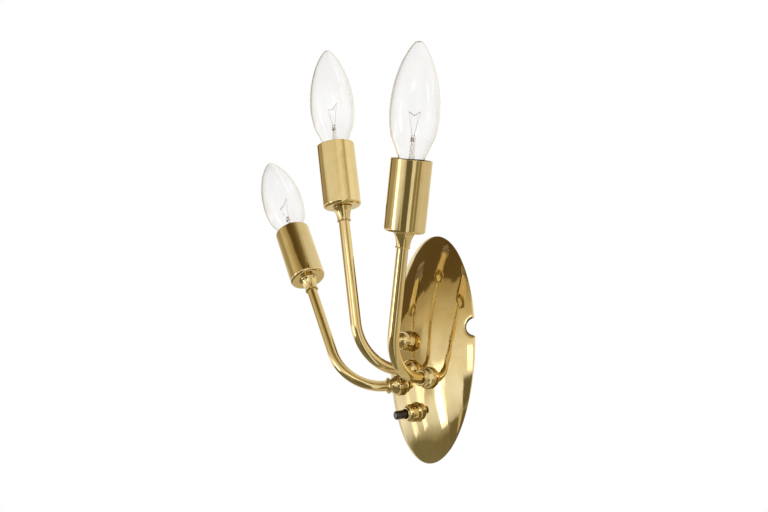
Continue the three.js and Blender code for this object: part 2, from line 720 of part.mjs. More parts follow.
function centreContact(name, group) {
  const end = lampFoot - GAP;
  const low = end - CONTACT_LENGTH;
  const radius = HOLDER_CONTACT_BORE / 2 - GAP;
  add(name, rod(radius, low, end, SIDES.small), "brass", group);
}

// ---------------------------------------------------------------- candle lamp

function lampCap(name, group) {
  const collarRadius = capRadius + CAP_COLLAR;
  const tip = CAP_TIP_DIAMETER / 2;
  const threadStart = lampFoot + CAP_INSULATOR_LENGTH;
  const floor = threadStart + 2 * CAP_WALL;
  const tipTop = lampFoot + CAP_TIP_LENGTH;
  const profile = [[0, lampFoot], [tip - CAP_TIP_LENGTH / 2, lampFoot], [tip, lampFoot + CAP_TIP_LENGTH / 2],
    [tip, tipTop], [capRadius - 2 * CAP_COLLAR, threadStart - CAP_COLLAR], [capRadius, threadStart],
    [capRadius, capCollarLow], [collarRadius, capTop - CAP_COLLAR], [collarRadius, capTop],
    [capInside, capTop], [capInside, floor], [0, floor]];
  add(name, turned(profile), "nickel", group);
}

// The glass outline above its neck, as shares of the largest radius and of the height.
const TIP_ROUND = 3.2;
const GLASS_OUTLINE = [[0.72, 0.11], [0.91, 0.215], [1, 0.38], [0.93, 0.585], [0.705, 0.775], [0.42, 0.91]];

function glassProfile(inset) {
  const neck = capInside - GAP - inset;
  const height = lampTip - neckHeight;
  const points = [[LAMP_NECK_DIAMETER / 2, 0]];
  for (const [wide, high] of GLASS_OUTLINE) points.push([(wide * LAMP_DIAMETER) / 2, high * height]);
  points.push([TIP_ROUND, height - TIP_ROUND * 0.42]);
  const bulge = new THREE.SplineCurve(points.map(([r, h]) => new THREE.Vector2(r, h + neckHeight)));
  const outline = [[neck, capTop - NECK_IN_CAP], [neck, capTop + GAP]];
  const steps = STEPS.glassOutline;
  for (let i = 0; i <= steps; i++) {
    const point = bulge.getPoint(i / steps);
    outline.push([point.x - inset, point.y - (inset * i) / steps]);
  }
  return outline;
}

function lampGlass(name, group) {
  const outside = [...glassProfile(0), [0, lampTip]];
  const inside = [...glassProfile(GLASS_WALL), [0, lampTip - GLASS_WALL]].reverse();
  add(name, turnedRing([...outside, ...inside], SIDES.glass), "glass", group);
}

function strut(from, to, radius) {
  const start = new THREE.Vector3(...from);
  const along = new THREE.Vector3(...to).sub(start);
  const matrix = new THREE.Matrix4().compose(
    start,
    new THREE.Quaternion().setFromUnitVectors(UP, along.clone().normalize()),
    new THREE.Vector3(1, 1, 1),
  );
  return solidOf(rod(radius, 0, along.length(), SIDES.wire).applyMatrix4(matrix));
}

// Glass stem, two support wires in a V, and the filament across their ends.
function lampMount(name, group) {
  const flare = capInside - 2 * GAP - GLASS_WALL;
  const foot = capTop - NECK_IN_CAP + GAP;
  const stem = STEM_DIAMETER / 2;
  const stemTop = neckHeight + STEM_HEIGHT;
  const profile = [[0, foot], [flare, foot], [flare - GLASS_WALL, foot + 2], [stem + GLASS_WALL / 2, capTop],
    [stem, stemTop - GLASS_WALL], [stem - GLASS_WALL, stemTop], [0, stemTop]];
  let mount = solidOf(turned(profile, SIDES.small));
  const radius = SUPPORT_WIRE_DIAMETER / 2;
  const reach = FILAMENT_SPAN / 2;
  const height = neckHeight + FILAMENT_HEIGHT;
  for (const side of [-1, 1]) {
    mount = mount.add(strut([side * 2 * radius, 0, stemTop - 2], [side * reach, 0, height], radius));
  }
  mount = mount.add(strut([-reach, 0, height - radius], [reach, 0, height - radius], radius));
  add(name, geometryOf(mount), "filament", group);
}

// ---------------------------------------------------------------- assembly

function armAndLamp(side, arm, leadIndex, leadVia) {
  rootFitting(side, arm);
  armTube(side, arm);
  armLead(side, arm, leadIndex, leadVia);
  const socket = axisGroup(arm.pointAt(arm.length), arm.up);
  socketCone(`socket_cone_${side}`, socket);
  sleeve(`socket_sleeve_${side}`, socket);
  lampholder(`lampholder_${side}`, socket);
  screwShell(`screw_shell_${side}`, socket);
  centreContact(`centre_contact_${side}`, socket);
  lampCap(`lamp_cap_${side}`, socket);
  lampGlass(`lamp_glass_${side}`, socket);
  lampMount(`lamp_mount_${side}`, socket);
}

const arms = {
  left: armLayout(OUTER_ARM, -1),
  centre: armLayout(CENTRE_ARM, 1),
  right: armLayout(OUTER_ARM, 1),
};

const at = (x, y, z) => new THREE.Vector3(x, y, z);
const LEAD_ROUTES = {
  left: [at(9, -5.4, -8.5), at(-4, -3.6, -15), at(-13.5, -3.4, -22.5)],
  centre: [at(14, -6.2, -10.5), at(6.5, -5.6, -16.5)],
  right: [at(22.6, -5.6, -12), at(20.5, -3.9, -20)],
};

const holes = Object.values(arms).map((arm) => (
  { origin: arm.root, direction: arm.out, radius: fittingBore }
));
holes.push({ origin: domePoint(0, BRACKET_HEIGHT), direction: OUT, radius: STUD_DIAMETER / 2 + GAP });
holes.push({ origin: switchSeat, direction: switchAxis, radius: bushBore });

backPlate(holes);
wallBracket();
stud();
capNut();
earthScrew();
terminalBlock();
pushButtonSwitch();
switchLead();
armAndLamp("left", arms.left, 0, LEAD_ROUTES.left);
armAndLamp("centre", arms.centre, 1, LEAD_ROUTES.centre);
armAndLamp("right", arms.right, 2, LEAD_ROUTES.right);

export default sconce;
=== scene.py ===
"""Looks of the three-armed brass wall sconce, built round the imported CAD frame.

Sizes are in millimetres here and turned into metres as each mesh is made. The origin is on the
wall at the middle of the oval plate, +Z is up, -Y points out of the wall into the room, and +X is
to the right for someone who faces the wall. "along" is a distance along a piece's own axis.
"""

import math

import bpy
from mathutils import Matrix, Vector


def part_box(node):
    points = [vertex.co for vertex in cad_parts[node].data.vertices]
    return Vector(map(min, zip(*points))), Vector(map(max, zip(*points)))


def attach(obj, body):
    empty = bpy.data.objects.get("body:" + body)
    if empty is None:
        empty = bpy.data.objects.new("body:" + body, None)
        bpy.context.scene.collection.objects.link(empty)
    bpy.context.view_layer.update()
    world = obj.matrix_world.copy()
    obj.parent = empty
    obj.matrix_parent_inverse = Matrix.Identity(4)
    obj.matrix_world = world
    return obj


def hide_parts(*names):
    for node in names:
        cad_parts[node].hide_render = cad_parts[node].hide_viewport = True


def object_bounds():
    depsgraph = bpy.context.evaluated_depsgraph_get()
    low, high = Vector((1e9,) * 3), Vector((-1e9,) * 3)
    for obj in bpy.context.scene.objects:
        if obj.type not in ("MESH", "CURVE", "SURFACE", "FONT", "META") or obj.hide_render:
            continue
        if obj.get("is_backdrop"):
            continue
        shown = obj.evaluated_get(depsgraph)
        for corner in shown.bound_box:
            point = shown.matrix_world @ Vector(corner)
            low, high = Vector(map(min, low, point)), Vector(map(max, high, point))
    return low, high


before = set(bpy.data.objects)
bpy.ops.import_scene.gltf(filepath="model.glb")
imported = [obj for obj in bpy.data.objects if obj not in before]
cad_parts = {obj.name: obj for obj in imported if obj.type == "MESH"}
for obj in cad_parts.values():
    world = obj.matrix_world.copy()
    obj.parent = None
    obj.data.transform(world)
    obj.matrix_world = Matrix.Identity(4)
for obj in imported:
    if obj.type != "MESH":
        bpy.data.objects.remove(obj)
cad_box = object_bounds()

MM = 0.001
UP = Vector((0, 0, 1))
OUT = Vector((0, -1, 0))
SIDES = ("left", "centre", "right")

# ---- sizes

GAP = 0.3  # clearance between neighbouring pieces, as in the CAD source

plate_low, plate_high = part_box("back_plate")
PLATE_HALF_WIDTH = -plate_low.x / MM
PLATE_HALF_HEIGHT = plate_high.z / MM
PLATE_DEPTH = -plate_low.y / MM
PLATE_FULLNESS = 0.83
PLATE_SHEET = 1.0
NOTCH_RADIUS = 6.9
NOTCH_REACH = 5.7
NOTCH_HEIGHT = 5.0
NOTCH_X = PLATE_HALF_WIDTH - NOTCH_REACH + NOTCH_RADIUS
NOTCH_ROLL_WIDTH = 3.0
NOTCH_ROLL_SLOPE = 0.9

TUBE_RADIUS = 4.0
TUBE_WALL = 0.8
TUBE_START = 5.2
BEND_RADIUS = 35.8
LOWER_LEG = 43.4
OUTER_ARM = {"root_x": 19.4, "root_z": -27.5, "upper_leg": 102.8,
             "leaves": (16.7, -7.0), "climbs": (24.0, 8.6)}
CENTRE_ARM = {"root_x": 0, "root_z": -19.6, "upper_leg": 121.5, "leaves": (0, -2.7), "climbs": (0, 8.7)}
ARM_SET = 0.6

BORE = TUBE_RADIUS + GAP
BELL_RADIUS = 8.0
BELL_LENGTH = 8.7
COLLAR_START = 9.0
COLLAR_END = 11.0
COLLAR_RADIUS = 6.0
NIPPLE_BEHIND = 7.6
NIPPLE_IN_BELL = 4.9
NIPPLE_BORE = 2.3
WASHER_RADIUS = 7.5
WASHER_BACK = 3.0
NUT_ACROSS_FLATS = 12.0
NUT_THICKNESS = 3.4

SLEEVE_RADIUS = 14.0
SLEEVE_WALL = 0.8
SLEEVE_LENGTH = 48.4
SLEEVE_ROUND = 2.2
SLEEVE_HOLE = 5.3
CONE_LENGTH = 9.6
CONE_SHOULDER = 3.0
SPIGOT_RADIUS = 5.0
SPIGOT_LENGTH = 6.0
HOLDER_RADIUS = 12.6
HOLDER_TOP = 44.0
HOLDER_FLOOR = 23.7
SHELL_BORE = 7.3
SHELL_TOP = 42.6
SHELL_WALL = 0.7

LAMP_FOOT = 25.0
LAMP_TIP = 124.9
CAP_RADIUS = 6.9
CAP_THREAD_START = 29.2
CAP_COLLAR_START = 43.4
CAP_TOP = 47.0
THREAD_PITCH = 2.82
NECK_RADIUS = 6.1
NECK_HEIGHT = 48.4
LAMP_RADIUS = 16.7  # a little under the faceted CAD glass, so that it stays in its box
GLASS_WALL = 0.7
TIP_ROUND = 3.2
STEM_TOP = 64.4
FILAMENT_HEIGHT = 79.4
FILAMENT_REACH = 7.2
LEAD_WIRE_RADIUS = 0.13
SUPPORT_WIRE_RADIUS = 0.08
COIL_WIRE_RADIUS = 0.05
COIL_RADIUS = 0.24
COIL_TURNS = 30  # on each half of the filament
COIL_STEPS = 10  # to a turn

STUD_HEIGHT = 2.0
STUD_RADIUS = 3.0
CAP_NUT_RADIUS = 7.6
CAP_NUT_RIM = 4.6
CAP_NUT_LENGTH = 13.6
CAP_NUT_FOOT = 6.2
CAP_NUT_NECK = 6.6
CAP_NUT_BORE_DEPTH = 8.3
BRACKET_THICKNESS = 2.0
BRACKET_LENGTH = 90.0
BRACKET_WIDTH = 16.0
SLOT_X = 36.0
SLOT_LENGTH = 12.0
SLOT_WIDTH = 5.0
EARTH_X = -17.0

SWITCH_HEIGHT = -49.8
BUTTON_RADIUS = 3.15
BUTTON_END = 19.1
WIRE_RADIUS = 1.1

# ---- outlines


def eased(outline, radius=0.18, closed=True, steps=3):
    """The outline with each corner sharper than 20 degrees rounded off."""
    points = [Vector(p) for p in outline]
    count = len(points)
    result = []
    for i, point in enumerate(points):
        before = points[i - 1] - point
        after = points[(i + 1) % count] - point
        is_end = not closed and i in (0, count - 1)
        if is_end or before.angle(-after, 0) < math.radians(20):
            result.append(point)
            continue
        start = point + before.normalized() * min(radius, 0.4 * before.length)
        end = point + after.normalized() * min(radius, 0.4 * after.length)
        for k in range(steps + 1):
            share = k / steps
            result.append(start.lerp(point, share).lerp(point.lerp(end, share), share))
    return [tuple(p) for p in result]


def arc(centre, radius, start, turn, steps=8):
    """Points of an arc in degrees, both ends included."""
    angles = [math.radians(start + turn * i / steps) for i in range(steps + 1)]
    return [(centre[0] + radius * math.cos(a), centre[1] + radius * math.sin(a)) for a in angles]


def whole_turn(steps):
    """Angles of a whole turn, all but the last."""
    return [2 * math.pi * i / steps for i in range(steps)]


def quarter_turn(steps):
    """Angles of a quarter turn, all but the last."""
    return [math.pi / 2 * i / steps for i in range(steps)]


def spline(points, count):
    """Points spread along a smooth curve through the given ones."""
    points = [Vector(p) for p in points]
    last = len(points) - 1
    result = []
    for i in range(count + 1):
        place = last * i / count
        k = min(int(place), last - 1)
        t = place - k
        a, b, c, d = (points[min(max(k + j, 0), last)] for j in (-1, 0, 1, 2))
        result.append(0.5 * (2 * b + (c - a) * t + (2 * a - 5 * b + 4 * c - d) * t**2
                             + (3 * b - a - 3 * c + d) * t**3))
    return result


# ---- surfaces


def add_object(name, data):
    made = bpy.data.objects.new(name, data)
    bpy.context.scene.collection.objects.link(made)
    return made


def metres(points):
    return [tuple(c * MM for c in point) for point in points]


def skin(rings, closed=True):
    """Vertices, faces and pattern coordinates of a surface through rings of equal count.
    A ring given as one point is a pole. Pattern coordinates run round and along it, in metres."""
    verts, index, distance = [], [], [0.0]
    count = max(len(ring) for ring in rings)
    for k, ring in enumerate(rings):
        start = len(verts)
        verts += ring
        index.append([start] * count if len(ring) == 1 else list(range(start, start + count)))
        if k:
            step = (Vector(ring[0]) - Vector(rings[k - 1][0])).length
            distance.append(distance[-1] + step)
    radius = max((Vector(r[0]) - Vector(r[len(r) // 2])).length / 2 for r in rings)
    pairs = list(zip(index, index[1:], distance, distance[1:]))
    if closed:
        pairs.append((index[-1], index[0], distance[-1], distance[-1] + 1))
    faces, coordinates = [], []
    around = 2 * math.pi * radius / count * MM
    for low, high, v0, v1 in pairs:
        if low[0] == low[1] and high[0] == high[1]:
            continue
        for i in range(count):
            j = (i + 1) % count
            corners = [(low[i], i, v0), (low[j], i + 1, v0), (high[j], i + 1, v1), (high[i], i, v1)]
            face = []
            for corner in corners:
                if corner[0] not in [c[0] for c in face]:
                    face.append(corner)
            faces.append([c[0] for c in face])
            coordinates += [(c[1] * around, c[2] * MM) for c in face]
    return verts, faces, coordinates


def lathe(outline, sides=96, warp=None):
    """A turned piece about +Z, from [radius, along] points listed anticlockwise."""
    rings = []
    for radius, along in outline:
        if radius < 1e-6:
            ring = [(0.0, 0.0, along)]
        else:
            ring = [(radius * math.cos(a), radius * math.sin(a), along) for a in whole_turn(sides)]
        rings.append([warp(*p) for p in ring] if warp else ring)
    return skin(rings)


def rod(radius, low, high, sides=32):
    return lathe([(0, low), (radius, low), (radius, high), (0, high)], sides)


def frames_along(path):
    """The point and two cross directions at each step of a path, turned as little as possible."""
    points = [Vector(p) for p in path]
    tangents = [(points[min(i + 1, len(points) - 1)] - points[max(i - 1, 0)]).normalized()
                for i in range(len(points))]
    side = tangents[0].orthogonal().normalized()
    result = []
    for i, point in enumerate(points):
        if i:
            side = tangents[i - 1].rotation_difference(tangents[i]) @ side
        side = (side - tangents[i] * side.dot(tangents[i])).normalized()
        result.append((point, side, tangents[i].cross(side)))
    return result


def section_ring(station, radius, sides):
    point, side, other = station
    return [tuple(point + radius * (math.cos(a) * side + math.sin(a) * other))
            for a in whole_turn(sides)]


def pipe(path, radius, bore=0.0, sides=48, ease=0.2):
    """A tube along a path, or a solid wire if it has no bore, with eased ends."""
    stations = frames_along(path)
    start, end = stations[0], stations[-1]
    outer = [section_ring(s, radius, sides) for s in stations[1:-1]]
    if bore > 0:
        inner = [section_ring(s, bore, sides) for s in reversed(stations)]
        low = section_ring(start, radius - ease, sides)
        high = section_ring(end, radius - ease, sides)
        return skin([low, *outer, high, *inner])
    low = [tuple(start[0])]
    high = [tuple(end[0])]
    return skin([low, section_ring(start, radius - ease, sides), *outer,
                 section_ring(end, radius - ease, sides), high])


def joined(*surfaces):
    """Several surfaces as one."""
    verts, faces, coordinates = [], [], []
    for more_verts, more_faces, more_coordinates in surfaces:
        start = len(verts)
        verts += more_verts
        faces += [[start + i for i in face] for face in more_faces]
        coordinates += more_coordinates
    return verts, faces, coordinates


def moved(surface, matrix):
    verts, faces, coordinates = surface
    return [tuple(matrix @ Vector(v)) for v in verts], faces, coordinates


def axis_matrix(origin, direction):
    """Places a piece whose own +Z axis starts at a point and runs along a direction."""
    return Matrix.Translation(origin) @ UP.rotation_difference(direction).to_matrix().to_4x4()


def thread(radius, low, high, pitch, depth, fade=0.8):
    """A warp that cuts a rounded helical thread into the wall at one radius."""
    def warp(x, y, z):
        reach = math.hypot(x, y)
        if abs(reach - radius) > 0.05 or not low <= z <= high:
            return x, y, z
        turn = z / pitch - math.atan2(y, x) / (2 * math.pi)
        near_end = min(1.0, (z - low) / (fade * pitch), (high - z) / (fade * pitch))
        cut = depth * near_end * (0.5 - 0.5 * math.cos(2 * math.pi * turn))
        scale = (reach - cut) / reach
        return x * scale, y * scale, z
    return warp


def rise(radius, low, high, step=0.2):
    """Closely spaced points up a wall, for a thread to be cut in."""
    count = max(2, math.ceil(abs(high - low) / step))
    return [(radius, low + (high - low) * i / count) for i in range(count + 1)]


# ---- materials


class Tree:
    """A node tree that is built step by step."""

    def __init__(self, tree):
        self.tree = tree

    def node(self, kind, inputs=None, **settings):
        node = self.tree.nodes.new(kind)
        for name, value in settings.items():
            setattr(node, name, value)
        for socket, value in (inputs or {}).items():
            if isinstance(value, bpy.types.NodeSocket):
                self.tree.links.new(value, node.inputs[socket])
            else:
                node.inputs[socket].default_value = value
        return node

    def spread(self, value, low, high, to_low=0.0, to_high=1.0):
        """One range of a value spread smoothly over another."""
        return self.node("ShaderNodeMapRange", {
            "Value": value, "From Min": low, "From Max": high, "To Min": to_low, "To Max": to_high},
            interpolation_type="SMOOTHSTEP").outputs["Result"]

    def mixed(self, factor, first, second):
        """Two colours mixed; either may be another node's colour."""
        mix = self.node("ShaderNodeMix", data_type="RGBA")
        for socket, value in ((0, factor), (6, first), (7, second)):
            if isinstance(value, bpy.types.NodeSocket):
                self.tree.links.new(value, mix.inputs[socket])
            else:
                mix.inputs[socket].default_value = value
        return mix.outputs[2]

    def added(self, first, second, operation="ADD"):
        return self.node("ShaderNodeMath", {0: first, 1: second}, operation=operation).outputs[0]

    def ramp(self, value, stops):
        """Colours that change evenly between stops at places from 0 to 1."""
        node = self.node("ShaderNodeValToRGB", {0: value})
        elements = node.color_ramp.elements
        elements[0].position = stops[0][0]
        elements[1].position = stops[-1][0]
        for place, _ in stops[1:-1]:
            elements.new(place)
        for element, (_, colour) in zip(elements, stops):
            element.color = (*colour, 1)
        return node.outputs[0]


class Finish(Tree):
    """A Principled material."""

    def __init__(self, name, **sockets):
        self.material = bpy.data.materials.new(name)
        self.material.use_nodes = True
        super().__init__(self.material.node_tree)
        self.shader = self.tree.nodes["Principled BSDF"]
        for socket, value in sockets.items():
            self.shader.inputs[socket.replace("_", " ")].default_value = value

    def link(self, output, socket):
        self.tree.links.new(output, self.shader.inputs[socket])

    def noise(self, scale, detail=2.0, roughness=0.5, distortion=0.0, pattern="own"):
        """Noise over the piece's own coordinates or its unrolled ones, in cycles per metre."""
        source = self.node("ShaderNodeAttribute", attribute_name=pattern).outputs["Vector"]
        scales = scale if isinstance(scale, tuple) else (scale, scale, scale)
        placed = self.node("ShaderNodeMapping", {"Vector": source, "Scale": scales}).outputs["Vector"]
        return self.node("ShaderNodeTexNoise", {
            "Vector": placed, "Scale": 1.0, "Detail": detail, "Roughness": roughness,
            "Distortion": distortion}).outputs["Fac"]

    def bumped(self, height, distance, strength=1.0, under=None):
        inputs = {"Height": height, "Distance": distance, "Strength": strength}
        if under is not None:
            inputs["Normal"] = under
        return self.node("ShaderNodeBump", inputs).outputs["Normal"]


BRASS_LIGHT = (0.82, 0.67, 0.36, 1)
BRASS_TARNISH = (0.72, 0.55, 0.27, 1)


def brass(name, polish, grain, light=BRASS_LIGHT, tarnish_and_shade=BRASS_TARNISH, lines=0.4, waves=0.0,
          pattern="own", spots=0.3, ridges=0.00001):
    """Lacquered brass: fine lines along the grain, faint clouds of tarnish and a few small spots. Where
    the two colours given are near black, as on the sheet's cut edge, they are painted shade.
    polish is the least and most roughness, grain the scale of the lines in cycles per metre."""
    f = Finish(name, Metallic=1.0)
    clouds = f.noise(38, detail=4, roughness=0.6, distortion=0.4)
    streaks = f.noise(grain, detail=3, roughness=0.65, pattern=pattern)
    specks = f.noise(900, detail=2, roughness=0.7)
    spotted = f.spread(specks, 0.66, 0.76, 0.0, spots)
    colour = f.mixed(f.spread(clouds, 0.35, 0.75), light, tarnish_and_shade)
    colour = f.mixed(spotted, colour, (*[c * 0.55 for c in tarnish_and_shade[:3]], 1))
    colour = f.mixed(f.spread(streaks, 0.35, 0.8, 0.0, lines), colour, tarnish_and_shade)
    f.link(colour, "Base Color")
    rough = f.spread(f.added(clouds, streaks, "MULTIPLY"), 0.1, 0.45, *polish)
    f.link(f.added(rough, f.added(spotted, 0.25, "MULTIPLY")), "Roughness")
    normal = f.bumped(streaks, ridges, 0.35)
    if waves:
        swell = f.noise((55, 55, 30), detail=1, roughness=0.4)
        normal = f.bumped(swell, waves, 1.0, normal)
        ripple = f.noise((210, 210, 90), detail=2, roughness=0.5)
        normal = f.bumped(ripple, waves / 9, 1.0, normal)
    f.link(normal, "Normal")
    return f.material


def steel(name, colour, polish, zinc=0.0):
    """Plated steel with a fine mottle."""
    f = Finish(name, Metallic=1.0)
    mottle = f.noise(700, detail=4, roughness=0.7)
    stains = f.noise(90, detail=3)
    yellowed = (colour[0], colour[1] * (1 - 0.1 * zinc), colour[2] * (1 - 0.35 * zinc), 1)
    f.link(f.mixed(f.spread(stains, 0.35, 0.7), colour, yellowed), "Base Color")
    f.link(f.spread(mottle, 0.3, 0.7, *polish), "Roughness")
    f.link(f.bumped(mottle, 0.00002, 0.4), "Normal")
    return f.material


def clear_glass(name, tint):
    """Clear lamp glass, with the faint swell of blown glass."""
    f = Finish(name, Metallic=0.0, Roughness=0.0, IOR=1.38, Transmission_Weight=1.0)
    swell = f.noise((60, 60, 22), detail=1)
    f.link(f.mixed(f.spread(swell, 0.3, 0.7), (1, 1, 1, 1), tint), "Base Color")
    f.link(f.bumped(swell, 0.0002, 0.5), "Normal")
    return f.material


def porcelain():
    f = Finish("glazed_porcelain", Metallic=0.0, IOR=1.5, Coat_Weight=0.5, Coat_Roughness=0.08)
    clouds = f.noise(120, detail=4)
    specks = f.noise(1500, detail=1)
    colour = f.mixed(f.spread(clouds, 0.3, 0.7), (0.80, 0.77, 0.69, 1), (0.72, 0.68, 0.58, 1))
    f.link(f.mixed(f.spread(specks, 0.7, 0.78, 0, 0.5), colour, (0.35, 0.3, 0.22, 1)), "Base Color")
    f.link(f.spread(clouds, 0.3, 0.7, 0.22, 0.36), "Roughness")
    f.link(f.bumped(clouds, 0.00008, 0.4), "Normal")
    return f.material


def moulded(name, colour, worn, polish, coat=0.0):
    """Moulded plastic or insulation: a fine orange peel, slight wear and handling marks."""
    f = Finish(name, Metallic=0.0, IOR=1.5, Coat_Weight=coat, Coat_Roughness=0.06)
    peel = f.noise(1100, detail=2)
    marks = f.noise((260, 260, 90), detail=5, roughness=0.7)
    f.link(f.mixed(f.spread(marks, 0.45, 0.75), colour, worn), "Base Color")
    f.link(f.spread(marks, 0.35, 0.7, *polish), "Roughness")
    f.link(f.bumped(peel, 0.00002, 0.5), "Normal")
    return f.material


# Each finish: the record's material slot that it belongs to, and its material.
FINISHES = {
    "plate": ("brass_plate", brass("polished_plate_brass", (0.035, 0.11), (700, 700, 60), lines=0.25,
                                   waves=0.0006, spots=0.5)),
    "tube": ("brass_tube", brass("polished_tube_brass", (0.05, 0.13), (1500, 90, 1), pattern="pattern",
                                 spots=0.05, ridges=0.000002)),
    "turned": ("brass_turned", brass("turned_brass", (0.045, 0.11), (40, 40, 1500), lines=0.2,
                                     spots=0.0, ridges=0.0000008)),
    "sleeve": ("brass_sleeve", brass("drawn_sleeve_brass", (0.05, 0.10), (1900, 1900, 26), waves=0.0003,
                                     spots=0.2, ridges=0.000004)),
    "inner": ("brass_inner", brass("raw_inner_brass", (0.25, 0.45), (400, 400, 400),
                                   (0.70, 0.52, 0.26, 1), (0.45, 0.30, 0.13, 1))),
    # The cut edge of the sheet round the notch: its near-black brass colours are painted shade.
    "cut_edge": ("brass_plate", brass("cut_edge_painted_shade", (0.3, 0.5), (400, 400, 400),
                                      (0.20, 0.15, 0.08, 1), (0.10, 0.07, 0.035, 1))),
    "steel": ("steel", steel("zinc_plated_steel", (0.56, 0.56, 0.54, 1), (0.25, 0.5), zinc=1.0)),
    "nickel": ("lamp_cap", steel("nickel_plated_cap", (0.66, 0.64, 0.58, 1), (0.14, 0.3))),
    "solder": ("lamp_cap", steel("lead_solder", (0.42, 0.42, 0.41, 1), (0.35, 0.55))),
    "glass": ("lamp_glass", clear_glass("lamp_glass_clear", (0.965, 0.962, 0.955, 1))),
    "stem_glass": ("lamp_mount", clear_glass("stem_glass_clear", (0.92, 0.90, 0.87, 1))),
    "lead_wire": ("lamp_mount", steel("lamp_lead_wire", (0.93, 0.90, 0.86, 1), (0.3, 0.45))),
    "press_seal": ("lamp_mount", moulded("oxidised_press_seal", (0.86, 0.62, 0.50, 1),
                                         (0.93, 0.80, 0.72, 1), (0.2, 0.4))),
    "tungsten": ("lamp_mount", steel("tungsten_filament", (0.80, 0.78, 0.75, 1), (0.35, 0.5))),
    "porcelain": ("porcelain", porcelain()),
    "insulator": ("lamp_cap", moulded("black_cap_glass", (0.012, 0.011, 0.012, 1), (0.03, 0.03, 0.03, 1),
                                      (0.05, 0.14))),
    "button": ("button_black", moulded("black_button", (0.008, 0.007, 0.006, 1),
                                       (0.022, 0.018, 0.014, 1), (0.07, 0.2), coat=0.6)),
    "housing": ("switch_housing", moulded("brown_switch_housing", (0.045, 0.026, 0.016, 1),
                                          (0.07, 0.045, 0.03, 1), (0.3, 0.5))),
    "wire": ("wire_insulation", moulded("wire_insulation_ivory", (0.62, 0.57, 0.46, 1),
                                        (0.52, 0.46, 0.34, 1), (0.4, 0.6))),
}

# ---- pieces


def own_coordinates(mesh, points=None):
    """Keeps where each vertex lies on the piece itself, for patterns that follow its axis."""
    points = points or [v.co for v in mesh.vertices]
    layer = mesh.attributes.new("own", "FLOAT_VECTOR", "POINT")
    layer.data.foreach_set("vector", [c for point in points for c in point])


def smoothed(mesh, crease):
    mesh.shade_smooth()
    mesh.set_sharp_from_angle(angle=math.radians(crease))


def settle(name, mesh, finish, nodes=(), body="sconce"):
    """Makes a finished mesh an object that rides on a body and stands for the CAD nodes."""
    slot, material = FINISHES[finish]
    mesh.name = name
    mesh.materials.clear()
    mesh.materials.append(material)
    made = add_object(name, mesh)
    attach(made, body)
    if nodes:
        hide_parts(*nodes)
    return made


def piece(name, surface, finish, matrix=None, nodes=(), body="sconce", crease=50):
    """Makes a surface, placed by a matrix, one piece of the model."""
    verts, faces, coordinates = surface
    placed = moved(surface, matrix)[0] if matrix is not None else verts
    mesh = bpy.data.meshes.new(name)
    mesh.from_pydata(metres(placed), [], faces)
    own_coordinates(mesh, metres(verts))
    uv = mesh.uv_layers.new(name="pattern")
    uv.data.foreach_set("uv", [c for pair in coordinates for c in pair])
    smoothed(mesh, crease)
    made = settle(name, mesh, finish, nodes, body)
    weighted = made.modifiers.new("weighted_normals", "WEIGHTED_NORMAL")
    weighted.keep_sharp = True


def side_piece(side, name, surface, finish, place=None, node=None, body="sconce", crease=50):
    """A piece that each of the three arms has, so that its name and its CAD node end in the side."""
    nodes = [f"{node}_{side}"] if node else []
    piece(f"{name}_{side}", surface, finish, place, nodes, body, crease)


# ---- back plate


def dome_depth(x, z, grow=0.0):
    """How far the dome, grown all over by a distance, stands out from the wall."""
    wide = PLATE_HALF_WIDTH + grow
    high = PLATE_HALF_HEIGHT + grow
    inside = max(1 - (x / wide) ** 2 - (z / high) ** 2, 0)
    return (PLATE_DEPTH + grow) * inside**PLATE_FULLNESS


def dome_point(x, z):
    return Vector((x, -dome_depth(x, z), z))


def dome_normal(x, z, grow=0.0):
    """Outward normal of the dome, exact, so that the plate's reflections run clean."""
    wide = PLATE_HALF_WIDTH + grow
    high = PLATE_HALF_HEIGHT + grow
    inside = max(1 - (x / wide) ** 2 - (z / high) ** 2, 1e-5)
    slope = 2 * (PLATE_DEPTH + grow) * PLATE_FULLNESS * inside ** (PLATE_FULLNESS - 1)
    return Vector((slope * x / wide**2, -1, slope * z / high**2)).normalized()


def seated(matrix, grow, front=True):
    """A warp that slides the end of a piece along its axis until it lies on the dome."""
    def warp(x, y, z):
        if (z > -GAP) if front else (z < -0.5):
            return x, y, z
        point = matrix @ Vector((x, y, 0))
        direction = matrix.to_3x3() @ UP
        reach = 0.0
        for _ in range(12):
            place = point + direction * reach
            reach += (dome_depth(place.x, place.z, grow) + place.y) / -direction.y
        return x, y, reach
    return warp


def plate_shell(rings=64, sides=256):
    """The pressed oval before it is drilled, as closely spaced ellipses front and back."""
    def ellipse(share, grow):
        wide = (PLATE_HALF_WIDTH + grow) * share
        high = (PLATE_HALF_HEIGHT + grow) * share
        depth = (PLATE_DEPTH + grow) * max(1 - share**2, 0) ** PLATE_FULLNESS
        if share < 1e-6:
            return [(0, -depth, 0)]
        return [(wide * math.cos(a), -depth, high * math.sin(a)) for a in whole_turn(sides)]
    shares = [math.sin(math.pi / 2 * i / rings) for i in range(rings + 1)]
    front = [ellipse(s, 0) for s in shares[:-1]] + [ellipse(1, -0.12)]
    back = [ellipse(s, -PLATE_SHEET) for s in reversed(shares[:-1])]
    return skin([*front, ellipse(1, 0.1 - PLATE_SHEET), *back])


